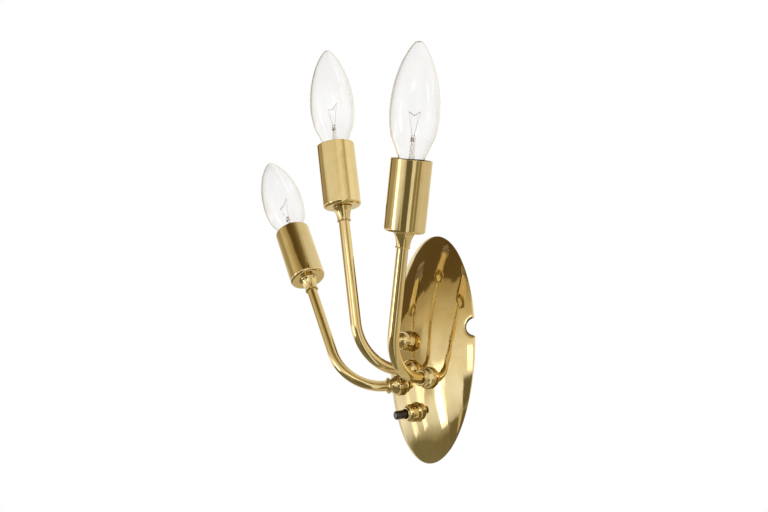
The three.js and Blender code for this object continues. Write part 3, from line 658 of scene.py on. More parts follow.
def cutters(arms):
    """The notch for the lead and the holes for the arms, the stud and the switch."""
    notch = axis_matrix(Vector((NOTCH_X, 0, NOTCH_HEIGHT)), OUT)
    tools = [moved(rod(NOTCH_RADIUS, -5, 20, 96), notch)]
    seats = [(arm.root, arm.out, BORE) for arm in arms.values()]
    seats.append((dome_point(0, STUD_HEIGHT), OUT, STUD_RADIUS + GAP))
    seats.append((dome_point(0, SWITCH_HEIGHT), dome_normal(0, SWITCH_HEIGHT), 4.8))
    for origin, direction, radius in seats:
        tools.append(moved(rod(radius, -4, 4, 48), axis_matrix(origin, direction)))
    return joined(*tools)


def scratch_object(name, surface):
    verts, faces, _ = surface
    mesh = bpy.data.meshes.new(name)
    mesh.from_pydata(metres(verts), [], faces)
    return add_object(name, mesh)


def evaluated_mesh(made):
    """The mesh that an object comes to with its modifiers or its bevel."""
    evaluated = made.evaluated_get(bpy.context.evaluated_depsgraph_get())
    return bpy.data.meshes.new_from_object(evaluated)


def cut_mesh(surface, tools):
    """The mesh left when the tools are cut from a surface."""
    blank = scratch_object("blank", surface)
    tool = scratch_object("tool", tools)
    cut = blank.modifiers.new("cut", "BOOLEAN")
    cut.operation = "DIFFERENCE"
    cut.solver = "EXACT"
    cut.object = tool
    mesh = evaluated_mesh(blank)
    for scratch in (blank, tool):
        bpy.data.objects.remove(scratch)
    return mesh


def notch_roll(x, z):
    """Slope of the sheet's edge where it rolls over into the notch."""
    towards = Vector((NOTCH_X - x, 0, NOTCH_HEIGHT - z))
    share = 1 - (towards.length - NOTCH_RADIUS) / NOTCH_ROLL_WIDTH
    return towards.normalized() * NOTCH_ROLL_SLOPE * min(max(share, 0), 1) ** 2


def mirror_normal(x, z):
    """Normal that the polished plate mirrors with. The pressed sheet is a little fuller towards its
    edges than the plain dome, which shows only in where its reflections fall."""
    normal = dome_normal(x, z)
    across = -normal.x / normal.y
    upright = -normal.z / normal.y
    fuller = across * (1.2 + 0.43 * across) if across > 0 else across
    return (Vector((fuller + 0.06, -1, upright * 1.12)) + notch_roll(x, z)).normalized()


def plate_normals(mesh):
    """Dome normals on the two faces of the sheet, flat ones on its cut edges and rim."""
    normals = []
    for polygon in mesh.polygons:
        for index in polygon.vertices:
            point = mesh.vertices[index].co / MM
            chosen = polygon.normal
            if dome_normal(point.x, point.z).dot(polygon.normal) > 0.97:
                chosen = mirror_normal(point.x, point.z)
            elif -dome_normal(point.x, point.z, -PLATE_SHEET).dot(polygon.normal) > 0.97:
                chosen = -dome_normal(point.x, point.z, -PLATE_SHEET)
            normals.append(tuple(chosen))
    return normals


def back_plate(arms):
    mesh = cut_mesh(plate_shell(), cutters(arms))
    mesh.shade_smooth()
    mesh.normals_split_custom_set(plate_normals(mesh))
    own_coordinates(mesh)
    settle("plate_shell", mesh, "plate", ["back_plate"])


def notch_lip():
    """The cut edge of the sheet round the notch, darkened with painted shade, from the rim round and back
    to the rim.
    """
    radius = PLATE_SHEET / 2
    edge = arc((NOTCH_X, NOTCH_HEIGHT), NOTCH_RADIUS + radius / 2, 90, 180, 120)
    inside = [(x, z) for x, z in edge if dome_depth(x, z) > 2.1 * radius]
    path = [Vector((x, 1.05 * radius - dome_depth(x, z), z)) for x, z in inside]
    piece("notch_lip", pipe(path, radius, sides=24), "cut_edge")


# ---- wall bracket, stud and cap nut


def strap_mesh():
    """The steel strap, from a flat curve with rounded ends, slots and an earth hole."""
    def stadium(x, length, width, points=24):
        straight = (length - width) / 2
        right = arc((x + straight, 0), width / 2, -90, 180, points)
        left = arc((x - straight, 0), width / 2, 90, 180, points)
        return right + left
    curve = bpy.data.curves.new("strap", "CURVE")
    curve.dimensions = "2D"
    curve.fill_mode = "BOTH"
    bevel = 0.3
    curve.extrude = (BRACKET_THICKNESS / 2 - bevel) * MM
    curve.bevel_depth = bevel * MM
    curve.bevel_resolution = 3
    curve.offset = -bevel * MM
    outlines = [stadium(0, BRACKET_LENGTH, BRACKET_WIDTH, 32), stadium(SLOT_X, SLOT_LENGTH, SLOT_WIDTH),
                stadium(-SLOT_X, SLOT_LENGTH, SLOT_WIDTH), arc((EARTH_X, 0), 2.0, 0, 345, 23)]
    for outline in outlines:
        line = curve.splines.new("POLY")
        line.points.add(len(outline) - 1)
        line.use_cyclic_u = True
        for point, (x, z) in zip(line.points, outline):
            point.co = (x * MM, z * MM, 0, 1)
    shape = add_object("strap_outline", curve)
    mesh = evaluated_mesh(shape)
    bpy.data.objects.remove(shape)
    return mesh


def wall_bracket():
    mesh = strap_mesh()
    centre = Vector((0, -BRACKET_THICKNESS / 2, STUD_HEIGHT)) * MM
    mesh.transform(Matrix.Translation(centre) @ Matrix.Rotation(math.pi / 2, 4, "X"))
    smoothed(mesh, 35)
    own_coordinates(mesh)
    settle("bracket_strap", mesh, "steel", ["wall_bracket"])


def stud():
    length = dome_depth(0, STUD_HEIGHT) - BRACKET_THICKNESS - GAP + 8
    outline = eased([(0, 0), (5, 0), (5, 1.2), (STUD_RADIUS, 1.2)], 0.25, closed=False)
    outline += [*rise(STUD_RADIUS, 1.6, length - 0.4), (STUD_RADIUS - 0.4, length), (0, length)]
    warp = thread(STUD_RADIUS, 1.6, length - 0.4, 1.0, 0.45, 0.3)
    piece("stud", lathe(outline, 48, warp), "steel", nodes=["bracket_stud"],
          matrix=axis_matrix(Vector((0, -BRACKET_THICKNESS - GAP, STUD_HEIGHT)), OUT))


def cap_nut():
    place = axis_matrix(dome_point(0, STUD_HEIGHT), OUT)
    crown_start = CAP_NUT_RIM + 0.5
    crown_height = CAP_NUT_LENGTH - crown_start
    crown = [((CAP_NUT_RADIUS - 0.5) * math.cos(a), crown_start + crown_height * math.sin(a))
             for a in quarter_turn(20)]
    bore = STUD_RADIUS + GAP
    rim = eased([(bore, -1), (CAP_NUT_FOOT, -1), (CAP_NUT_FOOT, 0.9), (CAP_NUT_RADIUS, 1.5),
                 (CAP_NUT_RADIUS, CAP_NUT_RIM - 0.5), (CAP_NUT_NECK, CAP_NUT_RIM),
                 (CAP_NUT_NECK, crown_start)], 0.2, closed=False)
    outline = [(0, CAP_NUT_BORE_DEPTH), (bore, CAP_NUT_BORE_DEPTH), *rim, *crown, (0, CAP_NUT_LENGTH)]
    piece("cap_nut_turned", lathe(outline, 96, seated(place, GAP)), "turned", place, ["cap_nut"])


def slotted_head(radius, height, slot_width, slot_depth, start=0.0):
    """Outline of a domed screw head, and the warp that cuts its driver slot."""
    slot_floor = start + height - slot_depth

    def warp(x, y, z):
        if z > slot_floor and abs(y) < slot_width / 2:
            return x, y, slot_floor
        return x, y, z
    outline = [(radius * math.cos(a), start + height * (0.35 + 0.65 * math.sin(a)))
               for a in quarter_turn(14)]
    return outline, warp


def earth_screw():
    head, warp = slotted_head(3.5, 2.2, 0.9, 0.9)
    outline = [(0, -2), (1.3, -2), (1.7, -1.7), (1.7, 0), (3.2, 0), *head, (0, 2.2)]
    piece("earth_screw_head", lathe(outline, 96, warp), "inner", crease=30,
          matrix=axis_matrix(Vector((EARTH_X, -BRACKET_THICKNESS - GAP, STUD_HEIGHT)), OUT),
          nodes=["earth_screw"])


# ---- terminal block

BLOCK_WAYS = 4
BLOCK_PITCH = 5.0
TERMINAL_DEPTH = 4.6  # how far each wire runs into the block
block_low, block_high = (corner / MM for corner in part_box("terminal_block"))
block_middle = (block_low + block_high) / 2


def block_entry(index):
    offset = (index - (BLOCK_WAYS - 1) / 2) * BLOCK_PITCH
    return Vector((block_middle.x + offset, block_middle.y, block_low.z))


def rounded_box(low, high, ease):
    """A box with rounded upright edges and eased ends, as rings from one end to the other."""
    def ring(inset, y):
        points = []
        for k, (x, z) in enumerate(((high.x, high.z), (low.x, high.z), (low.x, low.z), (high.x, low.z))):
            centre = (x - math.copysign(ease, x - (low.x + high.x) / 2),
                      z - math.copysign(ease, z - (low.z + high.z) / 2))
            points += [(px, y, pz) for px, pz in arc(centre, ease - inset, 90 * k, 90, 3)]
        return points
    low_middle = ((low.x + high.x) / 2, low.y, (low.z + high.z) / 2)
    high_middle = (low_middle[0], high.y, low_middle[2])
    edge = [(0.5, 0.0), (0.2, 0.2), (0.0, 0.5)]
    front = [ring(inset, low.y + depth) for inset, depth in edge]
    back = [ring(inset, high.y - depth) for inset, depth in reversed(edge)]
    return skin([[low_middle], *front, *back, [high_middle]])


def terminal_block():
    """Porcelain block with a drilled entry, a brass tube and a clamping screw for each wire."""
    tools, tubes, screws = [], [], []
    for i in range(BLOCK_WAYS):
        entry = block_entry(i)
        upwards = axis_matrix(entry, UP)
        tools.append(moved(rod(1.65, -1, 6), upwards))
        ring = eased([(1.2, 0.5), (1.6, 0.5), (1.6, 5.3), (1.2, 5.3)], 0.1)
        tubes.append(moved(lathe(ring, 32), upwards))
        seat = Vector((entry.x, block_low.y, block_low.z + 4))
        tools.append(moved(rod(1.75, -1.2, 2), axis_matrix(seat, OUT)))
        head, warp = slotted_head(1.5, 0.7, 0.45, 0.4, start=-0.8)
        screw = lathe([(0, -1.1), (1.5, -1.1), *head, (0, -0.1)], 48, warp)
        screws.append(moved(screw, axis_matrix(seat, OUT)))
    mesh = cut_mesh(rounded_box(block_low, block_high, 0.9), joined(*tools))
    smoothed(mesh, 35)
    own_coordinates(mesh)
    settle("terminal_porcelain", mesh, "porcelain", ["terminal_block"])
    piece("terminal_tubes", joined(*tubes), "inner")
    piece("terminal_screws", joined(*screws), "inner", crease=30)


# ---- push-button switch


def push_button_switch():
    place = axis_matrix(dome_point(0, SWITCH_HEIGHT), dome_normal(0, SWITCH_HEIGHT))
    housing = eased([(0, -9.9), (8, -9.9), (8, -1.9), (4.5, -1.9)], 0.5, closed=False)
    inside = eased([(3.45, 7.4), (3.45, -3.1), (4.6, -3.1), (4.6, -7.7)], 0.1, closed=False)
    housing += [*rise(4.5, -1.7, 7.2, 0.15), *inside, (0, -7.7)]
    bush = thread(4.5, -1.7, 7.2, 0.8, 0.3, 0.3)
    piece("switch_housing", lathe(housing, 72, bush), "housing", place, ["switch_body"])
    flange = eased([(4.8, -1), (7.4, -1), (7.4, 0.9), (6.2, 2.3), (4.8, 2.3)], 0.22)
    piece("switch_cone_washer", lathe(flange, 96, seated(place, GAP)), "turned", place, ["switch_flange"])
    nut = eased([(4.8, 2.6), (6.5, 2.6), (6.5, 6.8), (5.6, 8.0), (4.7, 8.4), (4.7, 10.3), (3.75, 10.3),
                 (3.75, 7.7), (4.8, 7.7)], 0.2)
    piece("switch_nut", lathe(nut, 96), "turned", place, ["switch_ring_nut"])
    end = arc((BUTTON_RADIUS - 1.2, BUTTON_END - 1.2), 1.2, 10, 80)
    button = [(0, -4.4), (4.1, -4.4), (4.3, -4.2), (4.3, -3.6), (4.1, -3.4), (BUTTON_RADIUS, -3.4),
              (BUTTON_RADIUS, BUTTON_END - 1.2), *end, (1.0, BUTTON_END - 0.06), (0, BUTTON_END - 0.1)]
    piece("button", lathe(button, 72), "button", place, ["switch_button"], "push_button")
    tags = []
    for side in (-1, 1):
        low = Vector((side * 3 - 1.2, -0.25, -10.6))
        high = Vector((side * 3 + 1.2, 0.25, -9.7))
        tags.append(rounded_box(low, high, 0.55))
    piece("switch_solder_tags", joined(*tags), "inner", place)


# ---- arms


class Arm:
    """Two straight legs joined by a round bend, in the plane of the two directions."""

    def __init__(self, spec, side):
        sideways, climb = (math.tan(math.radians(a)) for a in spec["leaves"])
        spread = math.tan(math.radians(side * spec["climbs"][0] + ARM_SET))
        forward = math.tan(math.radians(spec["climbs"][1]))
        self.root = dome_point(side * spec["root_x"], spec["root_z"])
        self.out = Vector((side * sideways, -1, climb)).normalized()
        self.up = Vector((spread, -forward, 1)).normalized()
        turn = self.out.angle(self.up)
        self.tangent = BEND_RADIUS * math.tan(turn / 2)
        self.corner = self.root + self.out * LOWER_LEG
        self.bend_start = LOWER_LEG - self.tangent
        self.upper_start = self.bend_start + BEND_RADIUS * turn
        self.towards_up = (self.up - self.out * self.up.dot(self.out)).normalized()
        self.length = self.upper_start + spec["upper_leg"] - SLEEVE_ROUND - self.tangent

    def point(self, distance):
        if distance <= self.bend_start:
            return self.root + self.out * distance
        if distance >= self.upper_start:
            return self.corner + self.up * (self.tangent + distance - self.upper_start)
        angle = (distance - self.bend_start) / BEND_RADIUS
        return (self.root + self.out * (self.bend_start + BEND_RADIUS * math.sin(angle))
                + self.towards_up * BEND_RADIUS * (1 - math.cos(angle)))

    def path(self, start, end, step=1.5):
        count = math.ceil((end - start) / step)
        return [self.point(start + (end - start) * i / count) for i in range(count + 1)]


def hexagon(across_flats):
    """A warp that brings a round blank down to six flats."""
    def warp(x, y, z):
        reach = math.hypot(x, y)
        if reach < across_flats / 2 - 0.6:
            return x, y, z
        angle = math.atan2(y, x)
        flat = (angle + math.pi / 6) % (math.pi / 3) - math.pi / 6
        limit = across_flats / 2 / math.cos(flat)
        scale = min(1.0, limit / reach)
        return x * scale, y * scale, z
    return warp


def root_fitting(side, arm):
    """Bell and collar in front of the plate; nipple, washer and nut behind it."""
    place = axis_matrix(arm.root, arm.out)
    bell = eased([(BORE, -1), (7.2, -1), (7.2, 0.5)], 0.15, closed=False)
    bell += spline([(7.9, 0.8), (BELL_RADIUS, 2.2), (7.75, 3.6), (7.1, 4.9), (6.25, 6.0), (5.6, 6.9),
                    (5.2, 7.7), (5.0, 8.2)], 42)
    bell += eased([(4.95, BELL_LENGTH), (BORE, BELL_LENGTH)], 0.15, closed=False)
    side_piece(side, "bell", lathe(bell, 96, seated(place, GAP)), "turned", place, "arm_bell")
    mid = (COLLAR_START + COLLAR_END) / 2
    ring = eased([(BORE, COLLAR_START), (5.5, COLLAR_START), (COLLAR_RADIUS, COLLAR_START + 0.5),
                  (COLLAR_RADIUS, mid - 0.15), (COLLAR_RADIUS - 0.3, mid), (COLLAR_RADIUS, mid + 0.15),
                  (COLLAR_RADIUS, COLLAR_END - 0.5), (5.5, COLLAR_END), (BORE, COLLAR_END)], 0.12)
    side_piece(side, "collar", lathe(ring, 96), "turned", place, "arm_collar")
    threaded = (TUBE_RADIUS, 0.3 - NIPPLE_BEHIND, NIPPLE_IN_BELL - 0.3)
    nipple = [(NIPPLE_BORE, NIPPLE_IN_BELL), (NIPPLE_BORE, -NIPPLE_BEHIND), (3.7, -NIPPLE_BEHIND),
              *rise(*threaded), (3.7, NIPPLE_IN_BELL)]
    cut = thread(*threaded, 1.0, 0.4, 0.3)
    side_piece(side, "nipple", lathe(nipple, 48, cut), "steel", place, "arm_nipple")
    washer = eased([(BORE, -WASHER_BACK), (WASHER_RADIUS, -WASHER_BACK), (WASHER_RADIUS, -0.4),
                    (BORE, -0.4)], 0.15)
    on_back = seated(place, -PLATE_SHEET - GAP, front=False)
    side_piece(side, "washer", lathe(washer, 72, on_back), "steel", place, "arm_washer")
    front = -WASHER_BACK - GAP
    corner = NUT_ACROSS_FLATS / 2 / math.cos(math.pi / 6)
    back = front - NUT_THICKNESS
    blank = [(BORE, front), (BORE, back), (corner - 0.75, back), (corner, back + 0.45),
             (corner, front - 0.45), (corner - 0.75, front)]
    nut = lathe(blank, 96, hexagon(NUT_ACROSS_FLATS))
    side_piece(side, "nut", nut, "steel", place, "arm_nut", crease=25)


def arm_tube(side, arm):
    end = arm.length - CONE_SHOULDER - 2 * GAP
    tube = pipe(arm.path(TUBE_START, end), TUBE_RADIUS, TUBE_RADIUS - TUBE_WALL, 64, 0.15)
    side_piece(side, "tube", tube, "tube", node="arm_tube")


# ---- leads

LEAD_ROUTES = {
    "left": [(9, -5.4, -8.5), (-4, -3.6, -15), (-13.5, -3.4, -22.5)],
    "centre": [(14, -6.2, -10.5), (6.5, -5.6, -16.5)],
    "right": [(22.6, -5.6, -12), (20.5, -3.9, -20)],
}


def arm_lead(side, arm, way):
    """The lead from the terminal block, through the nipple and the tube, to the lampholder."""
    entry = block_entry(way)
    mouth = arm.point(-NIPPLE_BEHIND)
    loose = spline([entry + UP * TERMINAL_DEPTH, entry - UP * 2, *[Vector(p) for p in LEAD_ROUTES[side]],
                    mouth - arm.out * 1.6, mouth], 60)
    inside = arm.path(-NIPPLE_BEHIND + 1, arm.length + LAMP_FOOT - 7.2, 3)
    lead = pipe([*loose, *inside], WIRE_RADIUS, sides=16)
    side_piece(side, "lead", lead, "wire", node="arm_lead")


def switch_lead():
    seat = dome_point(0, SWITCH_HEIGHT)
    start = seat + dome_normal(0, SWITCH_HEIGHT) * -5.9 + Vector((8.6, 0, 2))
    entry = block_entry(BLOCK_WAYS - 1)
    route = spline([start, start + Vector((4, 0.5, 2.5)), (29.5, start.y, SWITCH_HEIGHT + 14),
                    (31.5, start.y, -24), entry + Vector((4.5, 0, -9)), entry - UP * 3,
                    entry + UP * TERMINAL_DEPTH], 90)
    piece("lead_switch", pipe(route, WIRE_RADIUS, sides=16), "wire", nodes=["switch_lead"])


# ---- cup lampholder


def cup_lampholder(side, place):
    top = -GAP
    foot = top - CONE_LENGTH
    cone = [(BORE, foot - 1), *arc((4.75, foot - 0.5), 0.5, -80, 160, 8), (4.62, foot + 0.1)]
    cone += spline([(4.72, foot + 1), (5.0, foot + 3), (5.5, foot + 5.2), (6.3, top - 2.2),
                    (7.1, top - 0.7), (7.3, top - 0.2)], 30)
    cone += eased([(7.2, top), (SPIGOT_RADIUS, top)], 0.1, closed=False)
    threaded = (SPIGOT_RADIUS, top + 0.2, SPIGOT_LENGTH - 0.3)
    cone += [*rise(*threaded), (4.7, SPIGOT_LENGTH), (3, SPIGOT_LENGTH)]
    cone += [(3, top - CONE_SHOULDER), (BORE, top - CONE_SHOULDER)]
    cut = thread(*threaded, 1.0, 0.4, 0.3)
    side_piece(side, "cone", lathe(cone, 96, cut), "turned", place, "socket_cone")

    inside = SLEEVE_RADIUS - SLEEVE_WALL
    centre = (SLEEVE_RADIUS - SLEEVE_ROUND, SLEEVE_ROUND)
    corner = arc(centre, SLEEVE_ROUND, -90, 90, 12)
    inner = arc(centre, SLEEVE_ROUND - SLEEVE_WALL, 0, -90, 8)
    rim = eased([(SLEEVE_RADIUS, SLEEVE_LENGTH - 2), (SLEEVE_RADIUS, SLEEVE_LENGTH),
                 (inside, SLEEVE_LENGTH), (inside, SLEEVE_LENGTH - 2)], 0.22, closed=False)
    sleeve = [(SLEEVE_HOLE, 0.1), (SLEEVE_HOLE + 0.1, 0), *corner, *rim, *inner,
              (SLEEVE_HOLE, SLEEVE_WALL)]
    side_piece(side, "sleeve", lathe(sleeve, 160), "sleeve", place, "socket_sleeve")

    body = eased([(5.3, 1.1), (8.5, 1.1), (8.5, 17.7), (HOLDER_RADIUS, 19.7), (HOLDER_RADIUS, 42.6),
                  (11.6, HOLDER_TOP), (9.4, HOLDER_TOP), (9.4, HOLDER_TOP - 0.9), (8.3, HOLDER_TOP - 0.9),
                  (8.3, HOLDER_FLOOR), (2.3, HOLDER_FLOOR), (2.3, 6.3), (5.3, 6.3)], 0.4)
    side_piece(side, "holder", lathe(body, 96), "porcelain", place, "lampholder")

    outer = SHELL_BORE + SHELL_WALL
    threaded = (SHELL_BORE, SHELL_TOP - 0.4, 24.9)
    shell = [(4.3, 24), (outer - 0.3, 24), (outer, 24.3), (outer, SHELL_TOP - 0.1),
             (outer - 0.1, SHELL_TOP), (SHELL_BORE, SHELL_TOP), *rise(*threaded), (4.3, 24.7)]
    rolled = thread(SHELL_BORE, 24.9, SHELL_TOP - 0.4, THREAD_PITCH, -0.35)
    side_piece(side, "shell", lathe(shell, 72, rolled), "inner", place, "screw_shell")
    contact = eased([(0, 18.1), (2, 18.1), (2, 24.2), (0, 24.7)], 0.3, closed=False)
    side_piece(side, "contact", lathe(contact, 32), "inner", place, "centre_contact")


# ---- candle lamp


def lamp_cap(side, place, body):
    threaded = (CAP_RADIUS, CAP_THREAD_START, CAP_COLLAR_START - 0.4)
    shell = [(5.6, CAP_THREAD_START - 0.9), (6.3, CAP_THREAD_START - 0.5), *rise(*threaded),
             (CAP_RADIUS, CAP_COLLAR_START)]
    shell += eased([(7.1, CAP_COLLAR_START + 0.5), (7.7, CAP_TOP - 0.9), (7.7, CAP_TOP), (6.4, CAP_TOP),
                    (6.4, CAP_THREAD_START), (5.6, CAP_THREAD_START)], 0.15, closed=False)
    cut = thread(*threaded, THREAD_PITCH, 0.55)
    side_piece(side, "cap_shell", lathe(shell, 96, cut), "nickel", place, "lamp_cap", body)
    slope = eased([(2.4, LAMP_FOOT + 1.3), (4.8, CAP_THREAD_START - 1.4), (5.5, CAP_THREAD_START - 0.7),
                   (5.5, CAP_THREAD_START)], 0.4, closed=False)
    insulator = lathe([(0, LAMP_FOOT + 1.3), *slope, (0, CAP_THREAD_START)], 64)
    side_piece(side, "cap_insulator", insulator, "insulator", place, body=body)
    rounded = [(2.25 * math.sin(a), LAMP_FOOT + 1.3 - 1.3 * math.cos(a))
               for a in [math.pi / 2 * i / 8 for i in range(2, 9)]]
    tip = [(0, LAMP_FOOT), *arc((0, LAMP_FOOT + 0.9), 0.9, -75, 0, 1), *rounded, (0, LAMP_FOOT + 1.5)]
    side_piece(side, "cap_tip", lathe(tip, 40), "solder", place, body=body)


def glass_outline(inset):
    """Outline of the candle-shaped bulb from its neck up to its tip."""
    shares = [(0.72, 0.11), (0.91, 0.215), (1, 0.38), (0.93, 0.585), (0.705, 0.775), (0.42, 0.91)]
    height = LAMP_TIP - NECK_HEIGHT
    points = [(8.7, NECK_HEIGHT)]
    points += [(wide * LAMP_RADIUS, NECK_HEIGHT + high * height) for wide, high in shares]
    points += [(TIP_ROUND, LAMP_TIP - TIP_ROUND * 0.42), (1.5, LAMP_TIP - 0.35), (0.5, LAMP_TIP - 0.04)]
    bulge = spline(points, 72)
    neck = spline([(NECK_RADIUS, 39), (NECK_RADIUS, 43), (NECK_RADIUS, 46.6), (6.9, 47.5)], 12)
    outline = [*neck, *bulge]
    result = []
    for i, point in enumerate(outline):
        direction = outline[min(i + 1, len(outline) - 1)] - outline[max(i - 1, 0)]
        normal = Vector((direction.y, -direction.x)).normalized()
        inner = point - normal * inset
        result.append((max(inner.x, 0.02), inner.y))
    return result


# Each glass sits a little askew in its cap: how far its tip leans, along x and y.
GLASS_LEAN = {"left": (0, 0), "centre": (0.9, 1.4), "right": (-1.8, -2.6)}


def askew(side, place):
    """The socket's frame, turned about the collar of the lamp's cap so that the tip leans."""
    pivot = place @ Vector((0, 0, CAP_COLLAR_START))
    upright = place @ Vector((0, 0, LAMP_TIP)) - pivot
    lean = Vector((*GLASS_LEAN[side], 0))
    turn = upright.rotation_difference(upright + lean).to_matrix().to_4x4()
    return Matrix.Translation(pivot) @ turn @ Matrix.Translation(-pivot) @ place


def lamp_glass(side, place, body):
    outside = [*glass_outline(0), (0, LAMP_TIP)]
    inside = [*glass_outline(GLASS_WALL), (0, LAMP_TIP - GLASS_WALL)]
    inside.reverse()
    bulb = lathe([*outside, *inside], 128)
    side_piece(side, "bulb", bulb, "glass", place, "lamp_glass", body)


def helix(start, end):
    """The centre line of a coil of wire between two points."""
    along = end - start
    place = axis_matrix(start, along.normalized())
    count = COIL_TURNS * COIL_STEPS
    angles = [2 * math.pi * i / COIL_STEPS for i in range(count + 1)]
    return [place @ Vector((COIL_RADIUS * math.cos(a), COIL_RADIUS * math.sin(a),
                            along.length * i / count)) for i, a in enumerate(angles)]


def lamp_mount(side, place, body):
    """Glass stem with its pinch, the lead wires in a V, two supports and the coiled filament."""
    stem = [(5.2, 39.4), (4.5, 39.4), (2.6, 42.5), (1.2, 46.5), (1.1, 57.5), (0, 59)]
    outer = [(0, STEM_TOP), (1.5, STEM_TOP - 0.3), (1.9, STEM_TOP - 1.4), (1.95, STEM_TOP - 5), (1.9, 52),
             (2.0, 47.5), (3.1, 43), (5.2, 39.8)]
    stem_glass = lathe([*reversed(stem), *reversed(outer)], 48)
    side_piece(side, "stem", stem_glass, "stem_glass", place, "lamp_mount", body)
    bead = lathe([(0, 59.6), (0.3, 59.8), (0.42, 60.6), (0.38, 62.2), (0.2, 63.1), (0, 63.2)], 20)
    seals = [moved(bead, Matrix.Translation((sign * 0.9, 0, 0))) for sign in (-1, 1)]
    side_piece(side, "press", joined(*seals), "press_seal", place, body=body)
    wires, ends = [], []
    for sign in (-1, 1):
        end = Vector((sign * FILAMENT_REACH, 0, FILAMENT_HEIGHT))
        lead = [(sign * 0.8, 0, 41), (sign * 0.9, 0, 61), (sign * 1.3, 0, STEM_TOP + 0.5),
                (sign * 4.4, 0, STEM_TOP + 7.5), end]
        support = [(0, sign * 0.7, STEM_TOP - 1), (sign * 1.2, sign * 1.6, STEM_TOP + 6),
                   (sign * 2.5, sign * 0.5, FILAMENT_HEIGHT - 1.2)]
        wires.append(pipe(spline(lead, 32), LEAD_WIRE_RADIUS, sides=10, ease=0.03))
        wires.append(pipe(spline(support, 16), SUPPORT_WIRE_RADIUS, sides=8, ease=0.02))
        ends.append(end)
    side_piece(side, "wires", joined(*wires), "lead_wire", place, body=body)
    peak = Vector((0, 0, FILAMENT_HEIGHT - 2.4))
    coil = helix(ends[0], peak)[:-1] + helix(peak, ends[1])
    filament = pipe(coil, COIL_WIRE_RADIUS, sides=5, ease=0.01)
    side_piece(side, "filament", filament, "tungsten", place, body=body)


# ---- stage

# The camera solved from the object's outlines: place in mm, turn in degrees, lens in mm.
CAMERA_PLACE = (552.06, -368.39, -130.55)
CAMERA_YAW, CAMERA_PITCH, CAMERA_ROLL = 59.34, 16.92, 0.38
CAMERA_LENS = 41.82


def camera():
    """The photograph's viewpoint: to the right of the sconce and from below."""
    yaw, pitch, roll = (math.radians(a) for a in (CAMERA_YAW, CAMERA_PITCH, CAMERA_ROLL))
    data = bpy.data.cameras.new("camera")
    data.sensor_width = 36
    data.lens = CAMERA_LENS
    data.clip_start = 0.01
    data.clip_end = 50
    made = add_object("camera", data)
    forward = Vector((-math.sin(yaw) * math.cos(pitch), math.cos(yaw) * math.cos(pitch), math.sin(pitch)))
    level = Vector((math.cos(yaw), math.sin(yaw), 0))
    above = level.cross(forward)
    right = math.cos(roll) * level + math.sin(roll) * above
    above = math.cos(roll) * above - math.sin(roll) * level
    turn = Matrix((right, above, -forward)).transposed().to_4x4()
    made.matrix_world = Matrix.Translation(Vector(CAMERA_PLACE) * MM) @ turn
    bpy.context.scene.camera = made


# The one lamp of the studio: azimuth 0 is straight out from the wall, 90 to the right.
KEY_AZIMUTH, KEY_ELEVATION = -10, -13
KEY_DISTANCE = 1.6
KEY_SIZE = (0.30, 0.5)
KEY_POWER = 1.0


def key_light():
    """A rectangular area light that faces the sconce."""
    data = bpy.data.lights.new("key_light", "AREA")
    data.shape = "RECTANGLE"
    data.size, data.size_y = KEY_SIZE
    data.energy = KEY_POWER
    made = add_object("key_light", data)
    azimuth, elevation = math.radians(KEY_AZIMUTH), math.radians(KEY_ELEVATION)
    towards = Vector((math.sin(azimuth) * math.cos(elevation), -math.cos(azimuth) * math.cos(elevation),
                      math.sin(elevation)))
    made.location = towards * KEY_DISTANCE
    made.rotation_mode = "QUATERNION"
    made.rotation_quaternion = towards.to_track_quat("Z", "Y")
    made.visible_camera = False


# The studio's walls, in front of the sconce's wall and behind it: elevation in degrees, colour.
ROOM_IN_FRONT = [
    (-60, (0.23, 0.21, 0.135)), (-29, (0.22, 0.195, 0.115)), (-25.5, (0.36, 0.34, 0.24)),
    (-22, (0.60, 0.57, 0.50)), (-18, (0.84, 0.85, 0.84)), (-12, (1.03, 1.04, 1.05)),
    (-5, (1.02, 1.03, 1.03)), (0, (0.99, 0.95, 0.86)), (8, (0.90, 0.86, 0.76)),
    (14, (0.80, 0.75, 0.58)), (19, (0.69, 0.60, 0.40)), (23, (0.61, 0.51, 0.33)),
    (29, (0.47, 0.38, 0.22)), (36, (0.38, 0.29, 0.13))]
ROOM_BEHIND = [(-60, (0.62, 0.57, 0.42)), (-26, (0.60, 0.54, 0.38)), (-12, (0.76, 0.70, 0.58)),
               (0, (0.74, 0.68, 0.56)), (12, (0.76, 0.70, 0.60)), (22, (0.97, 0.93, 0.80)),
               (38, (0.88, 0.84, 0.74)), (55, (0.80, 0.76, 0.66))]
CEILING = (0.124, 0.083, 0.031)
CEILING_EDGE = 34.5
